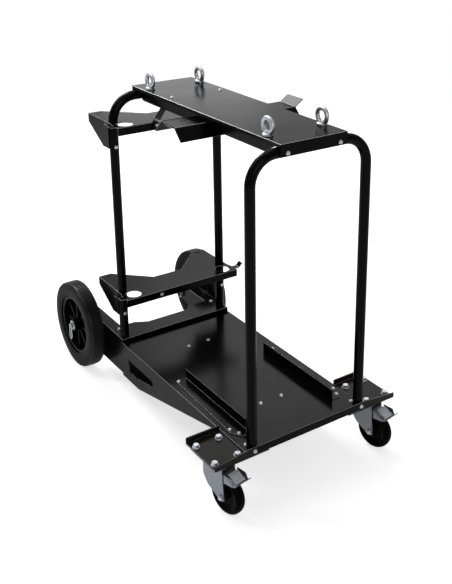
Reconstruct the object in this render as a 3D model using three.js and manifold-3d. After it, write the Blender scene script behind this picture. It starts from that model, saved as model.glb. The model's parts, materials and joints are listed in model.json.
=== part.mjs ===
import * as THREE from 'three';
import { mergeVertices } from 'three/addons/utils/BufferGeometryUtils.js';
import Module from 'manifold-3d';

const wasm = await Module();
wasm.setup();

// Sizes in millimetres. +Z is up, -Y is the front with the swivel casters, the hoops stand at +-Y.
const fit = 0.3; // clearance left between neighbours
const sheet = 3; // deck, platform and wing plates
const thinSheet = 2.5; // top plate, bottle brackets, hanger

// Two inverted U hoops of bent tube carry everything above the deck.
const tubeDiameter = 25;
const tubeWall = 2;
const hoopSpacing = 646;
const hoopWidth = 322;
const hoopRise = 711.1; // centre of the cross tubes above the deck
const bendRadius = 66;
const bendSteps = 6;
const tubeSides = 16;
const tubeClearance = 0.9; // round the tubes, in sheets that they pass

// Deck tray.
const deckMargin = 3.5; // deck outside the hoop legs
const deckShort = 8; // the tray ends this far ahead of the rear legs
const skirtDepth = 106.4; // under the deck's face
const skirtFlat = 94; // level run of the skirt's lower edge
const skirtTipDrop = 9; // depth left at the skirt's front end
const slotDrop = 39.4; // top of the slot under the deck's face
const slotHeight = 36;
const slotFrontHeight = 19;
const slotStart = 36; // slot, measured from the rear end of the tray
const slotLength = 147;
const slotRound = 9;
const deckHole = 5; // four screw holes in the deck
const deckHoleSpread = 64;
const deckHoleRear = 132; // ahead of the rear end of the tray
const deckHoleFront = 148; // behind the front legs

// Front lip and the two wing plates that carry the casters.
const lipHeight = 24;
const lipEndHeight = 13;
const wingMargin = 12; // wing outside the outer caster bolts
const wingTail = 28; // wing behind the rear caster bolts
const wingOverlap = 56; // part of the wing under the deck
const wingLip = 18;

// Rear platform with the open bottle bay and the axle arms.
const platformRise = 12; // above the deck
const platformLead = 18; // front edge ahead of the rear legs
const axleBehind = 203.5; // wheel axle behind the rear legs
const armBehindAxle = 30;
const bayFlat = 130; // width of the bay's straight front edge
const bayFlatBehind = 41; // that edge behind the rear legs
const bayDiagonal = 20;
const bayShoulder = 200; // width of the bay behind its slanted corners
const armWidth = 34;
const bayLip = 15;
const cheekDepth = 111.4; // under the platform's face
const innerCheekDepth = 95.4;
const cheekSlopeAhead = 48; // where the cheek's lower edge starts to rise, ahead of the axle
const cheekEndDrop = 24; // arm end under the axle
const innerSlopeAhead = 36;
const innerEdge = 8; // metal under the axle hole in the inner cheek
const floorRear = 118; // rear edge of the bottle floor, ahead of the arm ends
const floorLead = 125; // front edge of the bottle floor, ahead of the tray's rear end

// Rear wheels on stub axles.
const wheelDiameter = 260;
const wheelWidth = 44;
const wheelGap = 11; // between the cheek and the tyre
const rimDiameter = 172;
const rimWall = 9;
const hubDiameter = 38;
const rimWaist = 10.8; // thickness of the rim in its middle
const rimInset = 5; // rim narrower than the tyre on each side
const treadInset = 6; // edge of the tread inside the sidewall
const shoulderDrop = 6;
const crownDrop = 1.5;
const hubOverhang = 0.5; // hub longer than the tyre is wide, on each side
const spokeCount = 8;
const spokeWidth = 7;
const spokeDepth = 16;
const axleDiameter = 16;
const axleTail = 7;
const axleHeadDiameter = 24;
const axleHeadLength = 9;
const washerDiameter = 28;
const washerLength = 2.5;
const clipWire = 3;
const clipDrop = 46;
const clipRise = 16;
const clipTurn = 6; // the loop's points, sideways from its straight leg
const clipBulge = 13.6;
const clipWaist = 12.8;
const clipEnd = 12.2;
const clipRound = 8.5;
const clipSteps = 26;

// Top plate with eye bolts.
const topRise = 22.5; // above the centre of the cross tubes
const topWidth = 184;
const topFlange = 30;
const topCutStart = 5; // slope of the side flanges starts this far inside the tubes' centre
const topCutRun = 41;
const topScrewInset = 20;
const eyeInset = 17;
const eyeFromEnd = 71;
const eyeRing = 45;
const eyeBar = 10;
const eyeHeight = 45;
const eyeCollar = 25;
const eyeCollarHeight = 7;
const eyeShank = 10;
const eyeShankLength = 14;

// Cable hanger: a saddle through the side flanges with turned-up tips.
const hangerDrop = 20; // under the face of the top plate
const hangerLength = 350;
const hangerFlat = 66;
const hangerSlope = 28; // drop and run of each slanted side
const tipRun = 25;
const tipRise = 17;

// Bottle brackets round the rear legs.
const lowerBracketRise = 156.6; // above the deck
const bracketEar = 3.7; // front flange beyond the sides
const bracketFlange = 21.5;
const bracketStep = 24; // where the wide front part ends, ahead of the legs
const bracketStepRun = 6;
const notchFlat = 92;
const notchBehind = 28;
const notchRun = 84;
const armFlare = 8.3; // arm ends wider apart than the notch
const armStraight = 9; // arm ends behind the notch
const hoseHoleDiameter = 44;
const hoseHoleGap = 5.5; // between hose hole and tube
const hoseHoleRim = 7; // metal ahead of the hose hole
const hoseHoleEdge = 8.3; // metal beside the hose hole
const chainSlotLength = 16;
const chainSlotWidth = 6;
const chainSlotInset = 15;
const chainSlotEdge = 5.3;
const chainSlotRound = 2;
const hookLead = 10;
const hookWidth = 19;
const hookNeck = 14;
const hookRise = 12;
const gussetEnd = 23;
const gussetDepth = 73;
const gussetRun = 36;
const tabWidth = 24;
const tabHeight = 16;
const tabScrewRise = 5; // screw above the lower edge of the gusset

// Struts between the top plate and the upper bracket.
const strutWidth = 18;
const strutThickness = 4;
const strutInset = 20; // centre of the strut inside the edge of the top plate
const strutPad = 30;
const strutFromEnd = 180; // pad centre from the rear end of the top plate
const strutFoot = 18;

// Guide rails on the deck.
const railSpacing = 248;
const railHeight = 29;
const railLength = 305;
const railFrontBehind = 56; // front end behind the front legs
const railFoot = 32;
const railFootEnd = 25.6; // width of the foot at its front end
const railFootFront = 43; // width of its widest place
const railFootStep = 2; // narrowing behind that place
const railTabStart = 29.4;
const railTabEnd = 42;
const railThickness = 2;

// Swivel casters.
const casterWheel = 100;
const casterWidth = 26;
const casterTread = 16; // rubber on the core
const casterEdge = 3;
const casterChamfer = 2;
const casterShoulder = 7;
const casterCrownDrop = 1.5;
const casterHubNose = 8;
const casterHubFlare = 12.8;
const casterWeb = 15;
const casterHubOverhang = 4;
const casterTrail = 38;
const casterAngle = 9; // degrees the casters are turned at rest
const boltBeside = 19; // inner caster bolts outside the deck
const boltBehindLip = 22; // front caster bolts behind the front of the lip
const casterPlateLong = 104;
const casterPlateWide = 84;
const casterPlateRound = 6;
const boltLong = 82;
const boltWide = 62;
const raceDiameter = 56;
const raceHeight = 9;
const crownHeight = 9;
const crownInset = 1;
const kingpinDiameter = 12;
const kingpinHead = 20;
const kingpinHeadHeight = 5;
const forkGap = 5;
const forkWall = 3;
const forkRear = 26;
const forkFront = 40;
const forkShoulderRise = 35; // where the rear edge bends, above the wheel's centre
const forkWaistRear = 10;
const forkWaistRise = 12;
const forkFoot = 9; // metal round the wheel's axle
const forkRound = 7;
const bridgeFront = 39;
const bridgeRear = 20.8;
const casterAxle = 8;
const casterAxleHead = 15;
const casterAxleHeadLength = 5;
const pedalThickness = 2.5;
const brakeGap = 12; // between tyre and brake lever
const pedalPivotAhead = 8; // pivot ahead of the kingpin's head
const pedalPivotDrop = 4; // pivot under the crown
const pedalPivotDiameter = 6;
const pedalReach = 84;
const pedalBend = 60.5;
const pedalDip = 7.7;
const pedalTailRise = 1;
const pedalSideGap = 1;
const pedalLip = 11;
const pedalLipRise = 9;
const pedalWide = 44;
const pedalWallGap = 8; // side walls ahead of the fork
const pedalWallTop = 4; // above the middle of the lever
const pedalWallHeight = 22;
const pedalWallEnd = 76;
const pedalWallToe = 3; // rise of the wall's lower edge towards its end

// Fasteners.
const boltShank = 8;
const boltFlange = 19;
const boltFlangeHeight = 2;
const boltHex = 14;
const boltHexHeight = 6;
const boltTail = 6;
const screwShank = 6;
const screwHead = 12;
const screwHeadHeight = 3;
const screwReach = 6; // into the tubes
const screwTail = 2.5;

// Number of flat sides that stand for a round one.
const hexSides = 6;
const holeSides = 8;
const pinSides = 12;
const discSides = 20;
const raceSides = 24;
const wheelSides = 40;
const casterSides = 28;
const ringSides = 20;
const barSides = 8;
const forkHoleSteps = 5;
const wireSteps = 4;

// Values that follow from the sizes above.
const tubeRadius = tubeDiameter / 2;
const hoopHalf = hoopSpacing / 2;
const legX = hoopWidth / 2;
const deckHalf = legX + tubeRadius + deckMargin;
const deckRear = hoopHalf - deckShort;
const lipInner = -(hoopHalf + tubeRadius + fit);
const lipFront = lipInner - sheet;
const casterX = deckHalf + boltBeside + boltWide / 2;
const casterY = lipFront + boltBehindLip + boltLong / 2;
const wingReach = casterX + boltWide / 2 + wingMargin;
const wingRear = casterY + boltLong / 2 + wingTail;

// Heights, from the caster wheels up to the deck and the hoops.
const pedalMiddle = casterWheel + brakeGap + pedalThickness / 2;
const pedalPivotZ = pedalMiddle + pedalThickness / 2;
const crownBottom = pedalPivotZ + pedalPivotDiameter / 2 + pedalPivotDrop;
const crownTop = crownBottom + crownHeight;
const raceBottom = crownTop + fit;
const casterPlateBottom = raceBottom + raceHeight;
const casterTop = casterPlateBottom + sheet;
const wingBottom = casterTop + fit;
const wingTop = wingBottom + sheet;
const deckTop = wingTop + fit + sheet;
const hoopTop = deckTop + hoopRise;
const skirtBottom = deckTop - skirtDepth;
const slotTop = deckTop - slotDrop;
const slotBottom = slotTop - slotHeight;
const lipSeam = legX - tubeRadius + screwHead / 2;
const lipTop = wingBottom + lipHeight;
const platformTop = deckTop + platformRise;
const platformFront = hoopHalf - platformLead;
const axleY = hoopHalf + axleBehind;
const armRear = axleY + armBehindAxle;
const cheekBottom = platformTop - cheekDepth;
const innerCheekBottom = platformTop - innerCheekDepth;
const wheelRadius = wheelDiameter / 2;
const tyreInner = deckHalf + wheelGap;
const tyreOuter = tyreInner + wheelWidth;
const wheelMiddle = (tyreInner + tyreOuter) / 2;
const hubInner = tyreInner - hubOverhang;
const hubOuter = tyreOuter + hubOverhang;
const hubHalf = wheelWidth / 2 + hubOverhang;
const hoseHoleY = hoopHalf - tubeRadius - hoseHoleGap - hoseHoleDiameter / 2;
const bracketFront = hoseHoleY - hoseHoleDiameter / 2 - hoseHoleRim;
const notchFront = hoopHalf + notchBehind;
const bracketRear = notchFront + notchRun + armStraight;
const bracketHalf = legX + tubeRadius + fit + thinSheet;
const bracketFrontHalf = bracketHalf + bracketEar;
const upperBracketTop = hoopTop - bendRadius + thinSheet;
const lowerBracketTop = deckTop + lowerBracketRise;
const topHalf = topWidth / 2;
const topHeight = hoopTop + topRise;
const hangerTop = topHeight - hangerDrop;
const topEnd = hoopHalf + tubeRadius + fit + thinSheet;
const casterRadius = casterWheel / 2;
const casterCore = casterRadius - casterTread;
const forkInner = casterWidth / 2 + forkGap;
const forkOuter = forkInner + forkWall;
const pedalPivotY = -(kingpinHead / 2 + pedalPivotAhead);
const bracketScrewDrop = gussetDepth - tabScrewRise;

// Finishes.
const powderCoat = { color: 0x1c1c1d, roughness: 0.38, metalness: 0.1 };
const glossCoat = { color: 0x141416, roughness: 0.22, metalness: 0.1 };
const wingCoat = { color: 0x22211e, roughness: 0.4, metalness: 0.1 };
const zinc = { color: 0xc9ced2, roughness: 0.3, metalness: 0.9 };
const blueZinc = { color: 0xaab3ba, roughness: 0.34, metalness: 0.9 };
const rubber = { color: 0x1d1d1e, roughness: 0.75, metalness: 0 };
const plastic = { color: 0x18181a, roughness: 0.45, metalness: 0 };

const cart = new THREE.Group();
cart.name = 'welding_cart';

const planes = {
  xy: new THREE.Matrix4(),
  xz: new THREE.Matrix4().makeBasis(
    new THREE.Vector3(1, 0, 0), new THREE.Vector3(0, 0, 1), new THREE.Vector3(0, -1, 0)),
  yz: new THREE.Matrix4().makeBasis(
    new THREE.Vector3(0, 1, 0), new THREE.Vector3(0, 0, 1), new THREE.Vector3(1, 0, 0)),
};

// Closed geometry becomes a solid that can be joined and cut.
function toSolid(geometry) {
  const plain = geometry.index ? geometry.toNonIndexed() : geometry.clone();
  plain.deleteAttribute('normal');
  plain.deleteAttribute('uv');
  const merged = mergeVertices(plain, 1e-4);
  const index = merged.index.array;
  const kept = [];
  for (let i = 0; i < index.length; i += 3) {
    const [a, b, c] = [index[i], index[i + 1], index[i + 2]];
    if (a !== b && b !== c && c !== a) kept.push(a, b, c);
  }
  return new wasm.Manifold(new wasm.Mesh({
    numProp: 3,
    vertProperties: Float32Array.from(merged.attributes.position.array),
    triVerts: Uint32Array.from(kept),
  }));
}

function addPart(name, solid, finish) {
  const out = solid.getMesh();
  const geometry = new THREE.BufferGeometry();
  geometry.setAttribute('position', new THREE.BufferAttribute(new Float32Array(out.vertProperties), 3));
  geometry.setIndex(new THREE.BufferAttribute(new Uint32Array(out.triVerts), 1));
  geometry.computeVertexNormals();
  const mesh = new THREE.Mesh(geometry, new THREE.MeshStandardMaterial(finish));
  mesh.name = name;
  cart.add(mesh);
}

const joined = (solids) => solids.reduce((sum, next) => sum.add(next));
const mirrored = (points) => points.map(([x, y]) => [-x, y]).reverse();
const moved = (solid, x, y, z) => solid.translate([x, y, z]);
const sides = [['left', -1], ['right', 1]];

// Outline through the given corners, each corner rounded by the given radius.
function outline(points, radius = 0, Kind = THREE.Shape) {
  const path = new Kind();
  const corners = points.map(([x, y]) => new THREE.Vector2(x, y));
  corners.forEach((corner, i) => {
    const before = corners[(i + corners.length - 1) % corners.length];
    const after = corners[(i + 1) % corners.length];
    const start = before.clone().sub(corner).setLength(radius).add(corner);
    const end = after.clone().sub(corner).setLength(radius).add(corner);
    if (i === 0) path.moveTo(start.x, start.y);
    else path.lineTo(start.x, start.y);
    if (radius > 0) path.quadraticCurveTo(corner.x, corner.y, end.x, end.y);
  });
  path.closePath();
  return path;
}

const circle = (x, y, radius) => new THREE.Path().absarc(x, y, radius, 0, 2 * Math.PI);

// Flat sheet in one of the planes, from "start" to start + thickness along the third axis.
function flat(plane, shape, start, thickness, holes = [], curveSegments = 8) {
  shape.holes.push(...holes);
  const geometry = new THREE.ExtrudeGeometry(shape, { depth: thickness, bevelEnabled: false, curveSegments });
  geometry.applyMatrix4(planes[plane]);
  if (plane === 'xy') geometry.translate(0, 0, start);
  if (plane === 'xz') geometry.translate(0, start + thickness, 0);
  if (plane === 'yz') geometry.translate(start, 0, 0);
  return toSolid(geometry);
}

// Sheet lying between two distances from the middle plane, on the left (-1) or right (+1).
function sideSheet(side, shape, inner, thickness, holes = [], curveSegments = 8) {
  return flat('yz', shape, side < 0 ? -inner - thickness : inner, thickness, holes, curveSegments);
}

function box(x0, x1, y0, y1, z0, z1) {
  const geometry = new THREE.BoxGeometry(x1 - x0, y1 - y0, z1 - z0);
  geometry.translate((x0 + x1) / 2, (y0 + y1) / 2, (z0 + z1) / 2);
  return toSolid(geometry);
}

// Round or six-sided rod along x, y or z, from "start" to "end" on that axis.
function rod(axis, radius, start, end, at, segments = 16) {
  const geometry = new THREE.CylinderGeometry(radius, radius, end - start, segments);
  const middle = (start + end) / 2;
  if (axis === 'x') geometry.rotateZ(-Math.PI / 2).translate(middle, at[0], at[1]);
  if (axis === 'y') geometry.translate(at[0], middle, at[1]);
  if (axis === 'z') geometry.rotateX(Math.PI / 2).translate(at[0], at[1], middle);
  return toSolid(geometry);
}

// Outline of a strip of even thickness that follows a bent line.
function strip(points, thickness) {
  const line = points.map(([x, y]) => new THREE.Vector2(x, y));
  const normals = line.slice(1).map((point, i) => {
    const along = point.clone().sub(line[i]).normalize();
    return new THREE.Vector2(-along.y, along.x);
  });
  const near = [];
  const far = [];
  line.forEach((point, i) => {
    const a = normals[Math.max(i - 1, 0)];
    const b = normals[Math.min(i, normals.length - 1)];
    const mitre = a.clone().add(b).normalize();
    mitre.multiplyScalar(thickness / 2 / mitre.dot(a));
    near.push([point.x + mitre.x, point.y + mitre.y]);
    far.unshift([point.x - mitre.x, point.y - mitre.y]);
  });
  return outline([...near, ...far]);
}

// Ring or disc turned about the x axis; profile corners are [radius, x].
function turned(profile, segments) {
  const points = profile.map(([radius, x]) => new THREE.Vector2(radius, x));
  points.push(points[0].clone());
  const geometry = new THREE.LatheGeometry(points, segments);
  geometry.rotateZ(-Math.PI / 2);
  const solid = toSolid(geometry);
  return solid.volume() < 0 ? toSolid(flipped(geometry)) : solid;
}

function flipped(geometry) {
  const index = geometry.index.array;
  for (let i = 0; i < index.length; i += 3) {
    [index[i + 1], index[i + 2]] = [index[i + 2], index[i + 1]];
  }
  return geometry;
}

// Centre line of a hoop: two legs, two quarter bends and the cross tube.
class HoopLine extends THREE.Curve {
  constructor(foot) {
    super();
    const stations = [[-legX, foot]];
    for (let i = 0; i <= bendSteps; i += 1) {
      const turn = (Math.PI / 2) * (i / bendSteps);
      stations.push([
        -legX + bendRadius * (1 - Math.cos(turn)), hoopTop - bendRadius * (1 - Math.sin(turn))]);
    }
    this.stations = [...stations, ...mirrored(stations)];
  }

  getUtoTmapping(u) {
    return u;
  }

  getPoint(t) {
    const place = Math.min(t, 1) * (this.stations.length - 1);
    const i = Math.min(Math.floor(place), this.stations.length - 2);
    const [a, b] = [this.stations[i], this.stations[i + 1]];
    const part = place - i;
    return new THREE.Vector3(a[0] + (b[0] - a[0]) * part, 0, a[1] + (b[1] - a[1]) * part);
  }
}

function hoop(y, foot) {
  const line = new HoopLine(foot);
  const wall = new THREE.Shape().absarc(0, 0, tubeRadius, 0, 2 * Math.PI);
  wall.holes.push(circle(0, 0, tubeRadius - tubeWall));
  const geometry = new THREE.ExtrudeGeometry(wall, {
    steps: line.stations.length - 1, extrudePath: line, curveSegments: tubeSides / 2 });
  return moved(toSolid(geometry), 0, y, 0);
}

// Screw along the y axis, with the head outside "headAt" and the shank running to "tailAt".
function screwY(x, z, headAt, tailAt) {
  const headEnd = headAt + (headAt < tailAt ? -screwHeadHeight : screwHeadHeight);
  const [a, b] = [Math.min(headAt, headEnd), Math.max(headAt, headEnd)];
  const [c, d] = [Math.min(headAt, tailAt), Math.max(headAt, tailAt)];
  const head = rod('y', screwHead / 2, a, b, [x, z], pinSides);
  return head.add(rod('y', screwShank / 2, c - fit, d, [x, z], holeSides));
}

const drillY = (x, z, from, to) => rod('y', screwShank / 2 + fit, from, to, [x, z], holeSides);

// Deck tray: flat top, front lip, tapered side skirts with a long hand slot.
const skirtFront = wingRear + fit;
const lipEdge = lipInner + fit;
const deckShape = outline([
  [-lipSeam, lipFront], [lipSeam, lipFront], [lipSeam, lipEdge], [deckHalf, lipEdge],
  [deckHalf, deckRear], [-deckHalf, deckRear], [-deckHalf, lipEdge], [-lipSeam, lipEdge]]);
const skirtPoints = [
  [skirtFront, deckTop], [skirtFront, deckTop - skirtTipDrop], [deckRear - skirtFlat, skirtBottom],
  [deckRear, skirtBottom], [deckRear, deckTop]];
const slotRear = deckRear - slotStart;
const slotPoints = [
  [slotRear - slotLength, slotTop], [slotRear - slotLength, slotTop - slotFrontHeight],
  [deckRear - skirtFlat, slotBottom], [slotRear - slotRound, slotBottom], [slotRear, slotTop]];
const skirts = sides.map(([, side]) => sideSheet(
  side, outline(skirtPoints), deckHalf - sheet, sheet, [outline(slotPoints, slotRound, THREE.Path)]));
const frontLip = flat('xz', outline([
  [-lipSeam, deckTop - sheet], [lipSeam, deckTop - sheet], [lipSeam, lipTop], [-lipSeam, lipTop]]),
  lipFront, sheet);
const deckHoles = [-deckHoleSpread / 2, deckHoleSpread / 2].flatMap((x) => [
  circle(x, deckRear - deckHoleRear, deckHole / 2), circle(x, deckHoleFront - hoopHalf, deckHole / 2)]);
const deckPlate = flat('xy', deckShape, deckTop - sheet, sheet, deckHoles, wireSteps);
addPart('deck_tray', joined([deckPlate, frontLip, ...skirts]), powderCoat);

// Rear platform: top with the open bay, front and bay flanges, cheeks for the axles, bottle floor.
const bayHalf = deckHalf - armWidth;
const bayFront = hoopHalf + bayFlatBehind;
const baySide = bayFront + bayDiagonal;
const platformHalf = [
  [deckHalf, armRear], [bayHalf, armRear], [bayHalf, baySide], [bayShoulder / 2, baySide - fit],
  [bayFlat / 2, bayFront]];
const cheekFront = deckRear + fit;
const platformShape = outline([
  [-deckHalf, platformFront], [deckHalf, platformFront], ...platformHalf, ...mirrored(platformHalf)]);
const cheekPoints = [
  [platformFront, platformTop], [platformFront, deckTop + fit], [cheekFront, deckTop + fit],
  [cheekFront, cheekBottom], [axleY - cheekSlopeAhead, cheekBottom],
  [armRear, wheelRadius - cheekEndDrop], [armRear, platformTop]];
const innerCheekPoints = [
  [baySide, platformTop], [baySide, innerCheekBottom], [axleY - innerSlopeAhead, innerCheekBottom],
  [axleY - innerSlopeAhead, wheelRadius - cheekEndDrop], [axleY, wheelRadius - axleDiameter / 2 - innerEdge],
  [armRear, wheelRadius + axleDiameter / 2], [armRear, platformTop]];
const axleHole = () => [circle(axleY, wheelRadius, axleDiameter / 2 + fit)];
const floorHalf = deckHalf - sheet - fit;
const floorTop = cheekBottom + sheet;
const floorOuter = deckHalf - sheet / 2;
const floorPlate = box(-floorOuter, floorOuter, cheekFront, armRear - floorRear, cheekBottom, floorTop);
const floorFront = deckRear - floorLead;
const floorTongue = box(-floorHalf, floorHalf, floorFront, cheekFront + sheet, cheekBottom, floorTop);
addPart('bottle_platform', joined([
  flat('xy', platformShape, platformTop - sheet, sheet),
  box(-deckHalf, deckHalf, platformFront, platformFront + sheet, deckTop + fit, platformTop),
  box(-bayFlat / 2, bayFlat / 2, bayFront - sheet, bayFront, platformTop - bayLip, platformTop),
  ...sides.map(([, side]) => sideSheet(side, outline(cheekPoints), deckHalf - sheet, sheet, axleHole())),
  ...sides.map(([, side]) => sideSheet(side, outline(innerCheekPoints), bayHalf, sheet, axleHole())),
  floorPlate, floorTongue,
]), powderCoat);

// Wing plates: caster seat outside the deck, rear lip, tapered front lip.
const boltPlaces = [-1, 1].flatMap((a) => [-1, 1].map((b) => [a * boltWide / 2, b * boltLong / 2]));
const lipScrewZ = (wingBottom + lipTop) / 2;
function wing(side) {
  const plate = flat('xy', outline([
    [deckHalf - wingOverlap, lipFront], [wingReach, lipFront], [wingReach, wingRear],
    [deckHalf - wingOverlap, wingRear]]), wingBottom, sheet,
  boltPlaces.map(([x, y]) => circle(casterX + x, casterY + y, boltShank / 2 + fit)));
  const lip = flat('xz', outline([
    [lipSeam + fit, wingBottom], [wingReach, wingBottom], [wingReach, wingBottom + lipEndHeight],
    [legX + tubeRadius, lipTop], [lipSeam + fit, lipTop]]), lipFront, sheet);
  const rear = flat('xz', outline([
    [deckHalf + fit, wingBottom], [wingReach, wingBottom], [wingReach, wingBottom + wingLip - sheet],
    [wingReach - sheet, wingBottom + wingLip], [deckHalf + fit, wingBottom + wingLip]]),
  wingRear - sheet, sheet);
  const drill = drillY(legX, lipScrewZ, lipFront - sheet, lipInner + sheet);
  const solid = joined([plate, lip, rear]).subtract(drill);
  return side < 0 ? solid.mirror([1, 0, 0]) : solid;
}
for (const [word, side] of sides) addPart(`${word}_caster_wing`, wing(side), wingCoat);

// Hoops, drilled for the screws that hold lips, brackets and top plate.
const topScrewX = topHalf - topScrewInset;
const footFront = deckTop + fit;
const footRear = platformTop + fit;
const frontDrills = sides.flatMap(([, side]) => [
  drillY(side * legX, lipScrewZ, -hoopHalf - tubeDiameter, -hoopHalf),
  drillY(side * topScrewX, hoopTop, -hoopHalf - tubeDiameter, -hoopHalf)]);
const rearDrills = sides.flatMap(([, side]) => [
  drillY(side * topScrewX, hoopTop, hoopHalf, hoopHalf + tubeDiameter),
  drillY(side * legX, upperBracketTop - bracketScrewDrop, hoopHalf - tubeDiameter, hoopHalf + tubeDiameter),
  drillY(side * legX, lowerBracketTop - bracketScrewDrop, hoopHalf - tubeDiameter, hoopHalf + tubeDiameter)]);
addPart('front_hoop', hoop(-hoopHalf, footFront).subtract(joined(frontDrills)), glossCoat);
addPart('rear_hoop', hoop(hoopHalf, footRear).subtract(joined(rearDrills)), glossCoat);

// Top plate: flanges on all four sides, side flanges cut away over the tubes and round the hanger.
const flangeBottom = topHeight - topFlange;
const flangeEnd = hoopTop + tubeRadius + tubeClearance;
const cutEnd = hoopHalf - topCutStart;
const flangeStrip = [[-topEnd, topHeight], [-topEnd, flangeEnd], [topEnd, flangeEnd], [topEnd, topHeight]];
const flangeDeep = [
  [-cutEnd, topHeight], [-cutEnd, flangeEnd], [-cutEnd + topCutRun, flangeBottom],
  [cutEnd - topCutRun, flangeBottom], [cutEnd, flangeEnd], [cutEnd, topHeight]];
const hangerHalf = hangerFlat / 2;
const hangerMiddle = hangerTop - thinSheet / 2;
const hangerLine = [
  [-hangerHalf - hangerSlope, hangerMiddle - hangerSlope], [-hangerHalf, hangerMiddle],
  [hangerHalf, hangerMiddle], [hangerHalf + hangerSlope, hangerMiddle - hangerSlope]];
const hangerNotch = flat('yz', strip(hangerLine, thinSheet + 2 * fit), -topWidth, 2 * topWidth)
  .add(flat('yz', outline(hangerLine), -topWidth, 2 * topWidth));
const eyeX = topHalf - eyeInset;
const eyeY = topEnd - eyeFromEnd;
const eyePlaces = [
  ['rear_left', -eyeX, eyeY], ['rear_right', eyeX, eyeY],
  ['front_left', -eyeX, -eyeY], ['front_right', eyeX, -eyeY]];
const eyeHoles = eyePlaces.map(([, x, y]) => circle(x, y, eyeShank / 2 + fit));
const topShape = outline([[-topHalf, -topEnd], [topHalf, -topEnd], [topHalf, topEnd], [-topHalf, topEnd]]);
const topSheet = flat('xy', topShape, topHeight - thinSheet, thinSheet, eyeHoles);
const endFlanges = [-1, 1].map((end) => box(
  -topHalf, topHalf, Math.min(end * topEnd, end * (topEnd - thinSheet)),
  Math.max(end * topEnd, end * (topEnd - thinSheet)), flangeBottom, topHeight));
const topDrills = sides.flatMap(([, side]) => [
  drillY(side * topScrewX, hoopTop, -topEnd - sheet, -topEnd + 2 * sheet),
  drillY(side * topScrewX, hoopTop, topEnd - 2 * sheet, topEnd + sheet)]);
addPart('top_plate', joined([
  topSheet, ...endFlanges,
  ...sides.flatMap(([, side]) => [flangeStrip, flangeDeep].map(
    (points) => sideSheet(side, outline(points), topHalf - thinSheet, thinSheet))),
]).subtract(joined([hangerNotch, ...topDrills])), powderCoat);

// Eye bolts: ring, neck collar and threaded shank.
for (const [place, x, y] of eyePlaces) {
  const ringRadius = (eyeRing - eyeBar) / 2;
  const ring = new THREE.TorusGeometry(ringRadius, eyeBar / 2, barSides, ringSides);
  ring.rotateY(Math.PI / 2).translate(0, 0, eyeHeight - eyeRing / 2);
  const collar = rod('z', eyeCollar / 2, fit, eyeCollarHeight, [0, 0], discSides);
  const shank = rod('z', eyeShank / 2, -eyeShankLength, eyeCollarHeight, [0, 0], pinSides);
  addPart(`eye_bolt_${place}`, moved(joined([toSolid(ring), collar, shank]), x, y, topHeight), zinc);
}

// Cable hanger.
const hangerSaddle = flat('yz', strip(hangerLine, thinSheet), -hangerLength / 2, hangerLength);
const tips = sides.map(([, side]) => {
  const line = [
    [side * (hangerLength / 2 - tipRun), hangerMiddle], [side * hangerLength / 2, hangerMiddle],
    [side * (hangerLength / 2 + tipRun), hangerMiddle + tipRise]];
  return flat('xz', strip(line, thinSheet), -hangerHalf, hangerFlat);
});
addPart('cable_hanger', joined([hangerSaddle, ...tips]), powderCoat);

// Bottle brackets: notched plate round the rear legs, front flange, side gussets, turned-down arm
// ends, cable hooks.
function bracket(top) {
  const notchSide = notchFlat / 2 + notchRun;
  const armInner = notchSide + armFlare;
  const stepY = hoopHalf - bracketStep;
  const half = [
    [bracketFrontHalf, bracketFront], [bracketFrontHalf, stepY - bracketStepRun], [bracketHalf, stepY],
    [bracketHalf, bracketRear], [armInner, bracketRear], [notchSide, notchFront + notchRun],
    [notchFlat / 2, notchFront]];
  const slotY = bracketRear - chainSlotInset;
  const slotX = armInner + chainSlotEdge + chainSlotLength / 2;
  const hoseHoleX = bracketHalf - hoseHoleEdge - hoseHoleDiameter / 2;
  const holes = sides.flatMap(([, side]) => [
    circle(side * legX, hoopHalf, tubeRadius + tubeClearance),
    circle(side * hoseHoleX, hoseHoleY, hoseHoleDiameter / 2),
    outline([
      [side * slotX - chainSlotLength / 2, slotY - chainSlotWidth / 2],
      [side * slotX + chainSlotLength / 2, slotY - chainSlotWidth / 2],
      [side * slotX + chainSlotLength / 2, slotY + chainSlotWidth / 2],
      [side * slotX - chainSlotLength / 2, slotY + chainSlotWidth / 2]], chainSlotRound, THREE.Path)]);
  const plate = flat('xy', outline([...half, ...mirrored(half)]), top - thinSheet, thinSheet, holes);
  const flange = box(
    -bracketFrontHalf, bracketFrontHalf, bracketFront, bracketFront + thinSheet, top - bracketFlange, top);
  const gusset = [
    [hoopHalf, top], [hoopHalf, top - gussetDepth], [hoopHalf + gussetRun, top - gussetDepth],
    [bracketRear, top - gussetEnd], [bracketRear, top]];
  const tabY = hoopHalf + tubeRadius + fit;
  const tabTop = top - gussetDepth + tabHeight;
  const middle = top - thinSheet / 2;
  const sidePieces = sides.flatMap(([, side]) => {
    const hookStart = bracketFrontHalf + hookNeck;
    const hook = strip([
      [side * (bracketFrontHalf - hookNeck), middle], [side * hookStart, middle],
      [side * (hookStart + hookRise), middle + hookRise]], thinSheet);
    const tabEnds = [side * bracketHalf, side * (bracketHalf - tabWidth)].sort((a, b) => a - b);
    const armEnds = [side * armInner, side * bracketHalf].sort((a, b) => a - b);
    return [
      box(...armEnds, bracketRear - thinSheet, bracketRear, top - gussetEnd, top),
      sideSheet(side, outline(gusset), bracketHalf - thinSheet, thinSheet),
      box(...tabEnds, tabY, tabY + thinSheet, top - gussetDepth, tabTop),
      flat('xz', hook, bracketFront + hookLead, hookWidth)];
  });
  const drillEnd = tabY + thinSheet + sheet;
  const drills = sides.map(([, side]) => drillY(side * legX, top - bracketScrewDrop, hoopHalf, drillEnd));
  return joined([plate, flange, ...sidePieces]).subtract(joined(drills));
}
addPart('upper_bottle_bracket', bracket(upperBracketTop), powderCoat);
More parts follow.
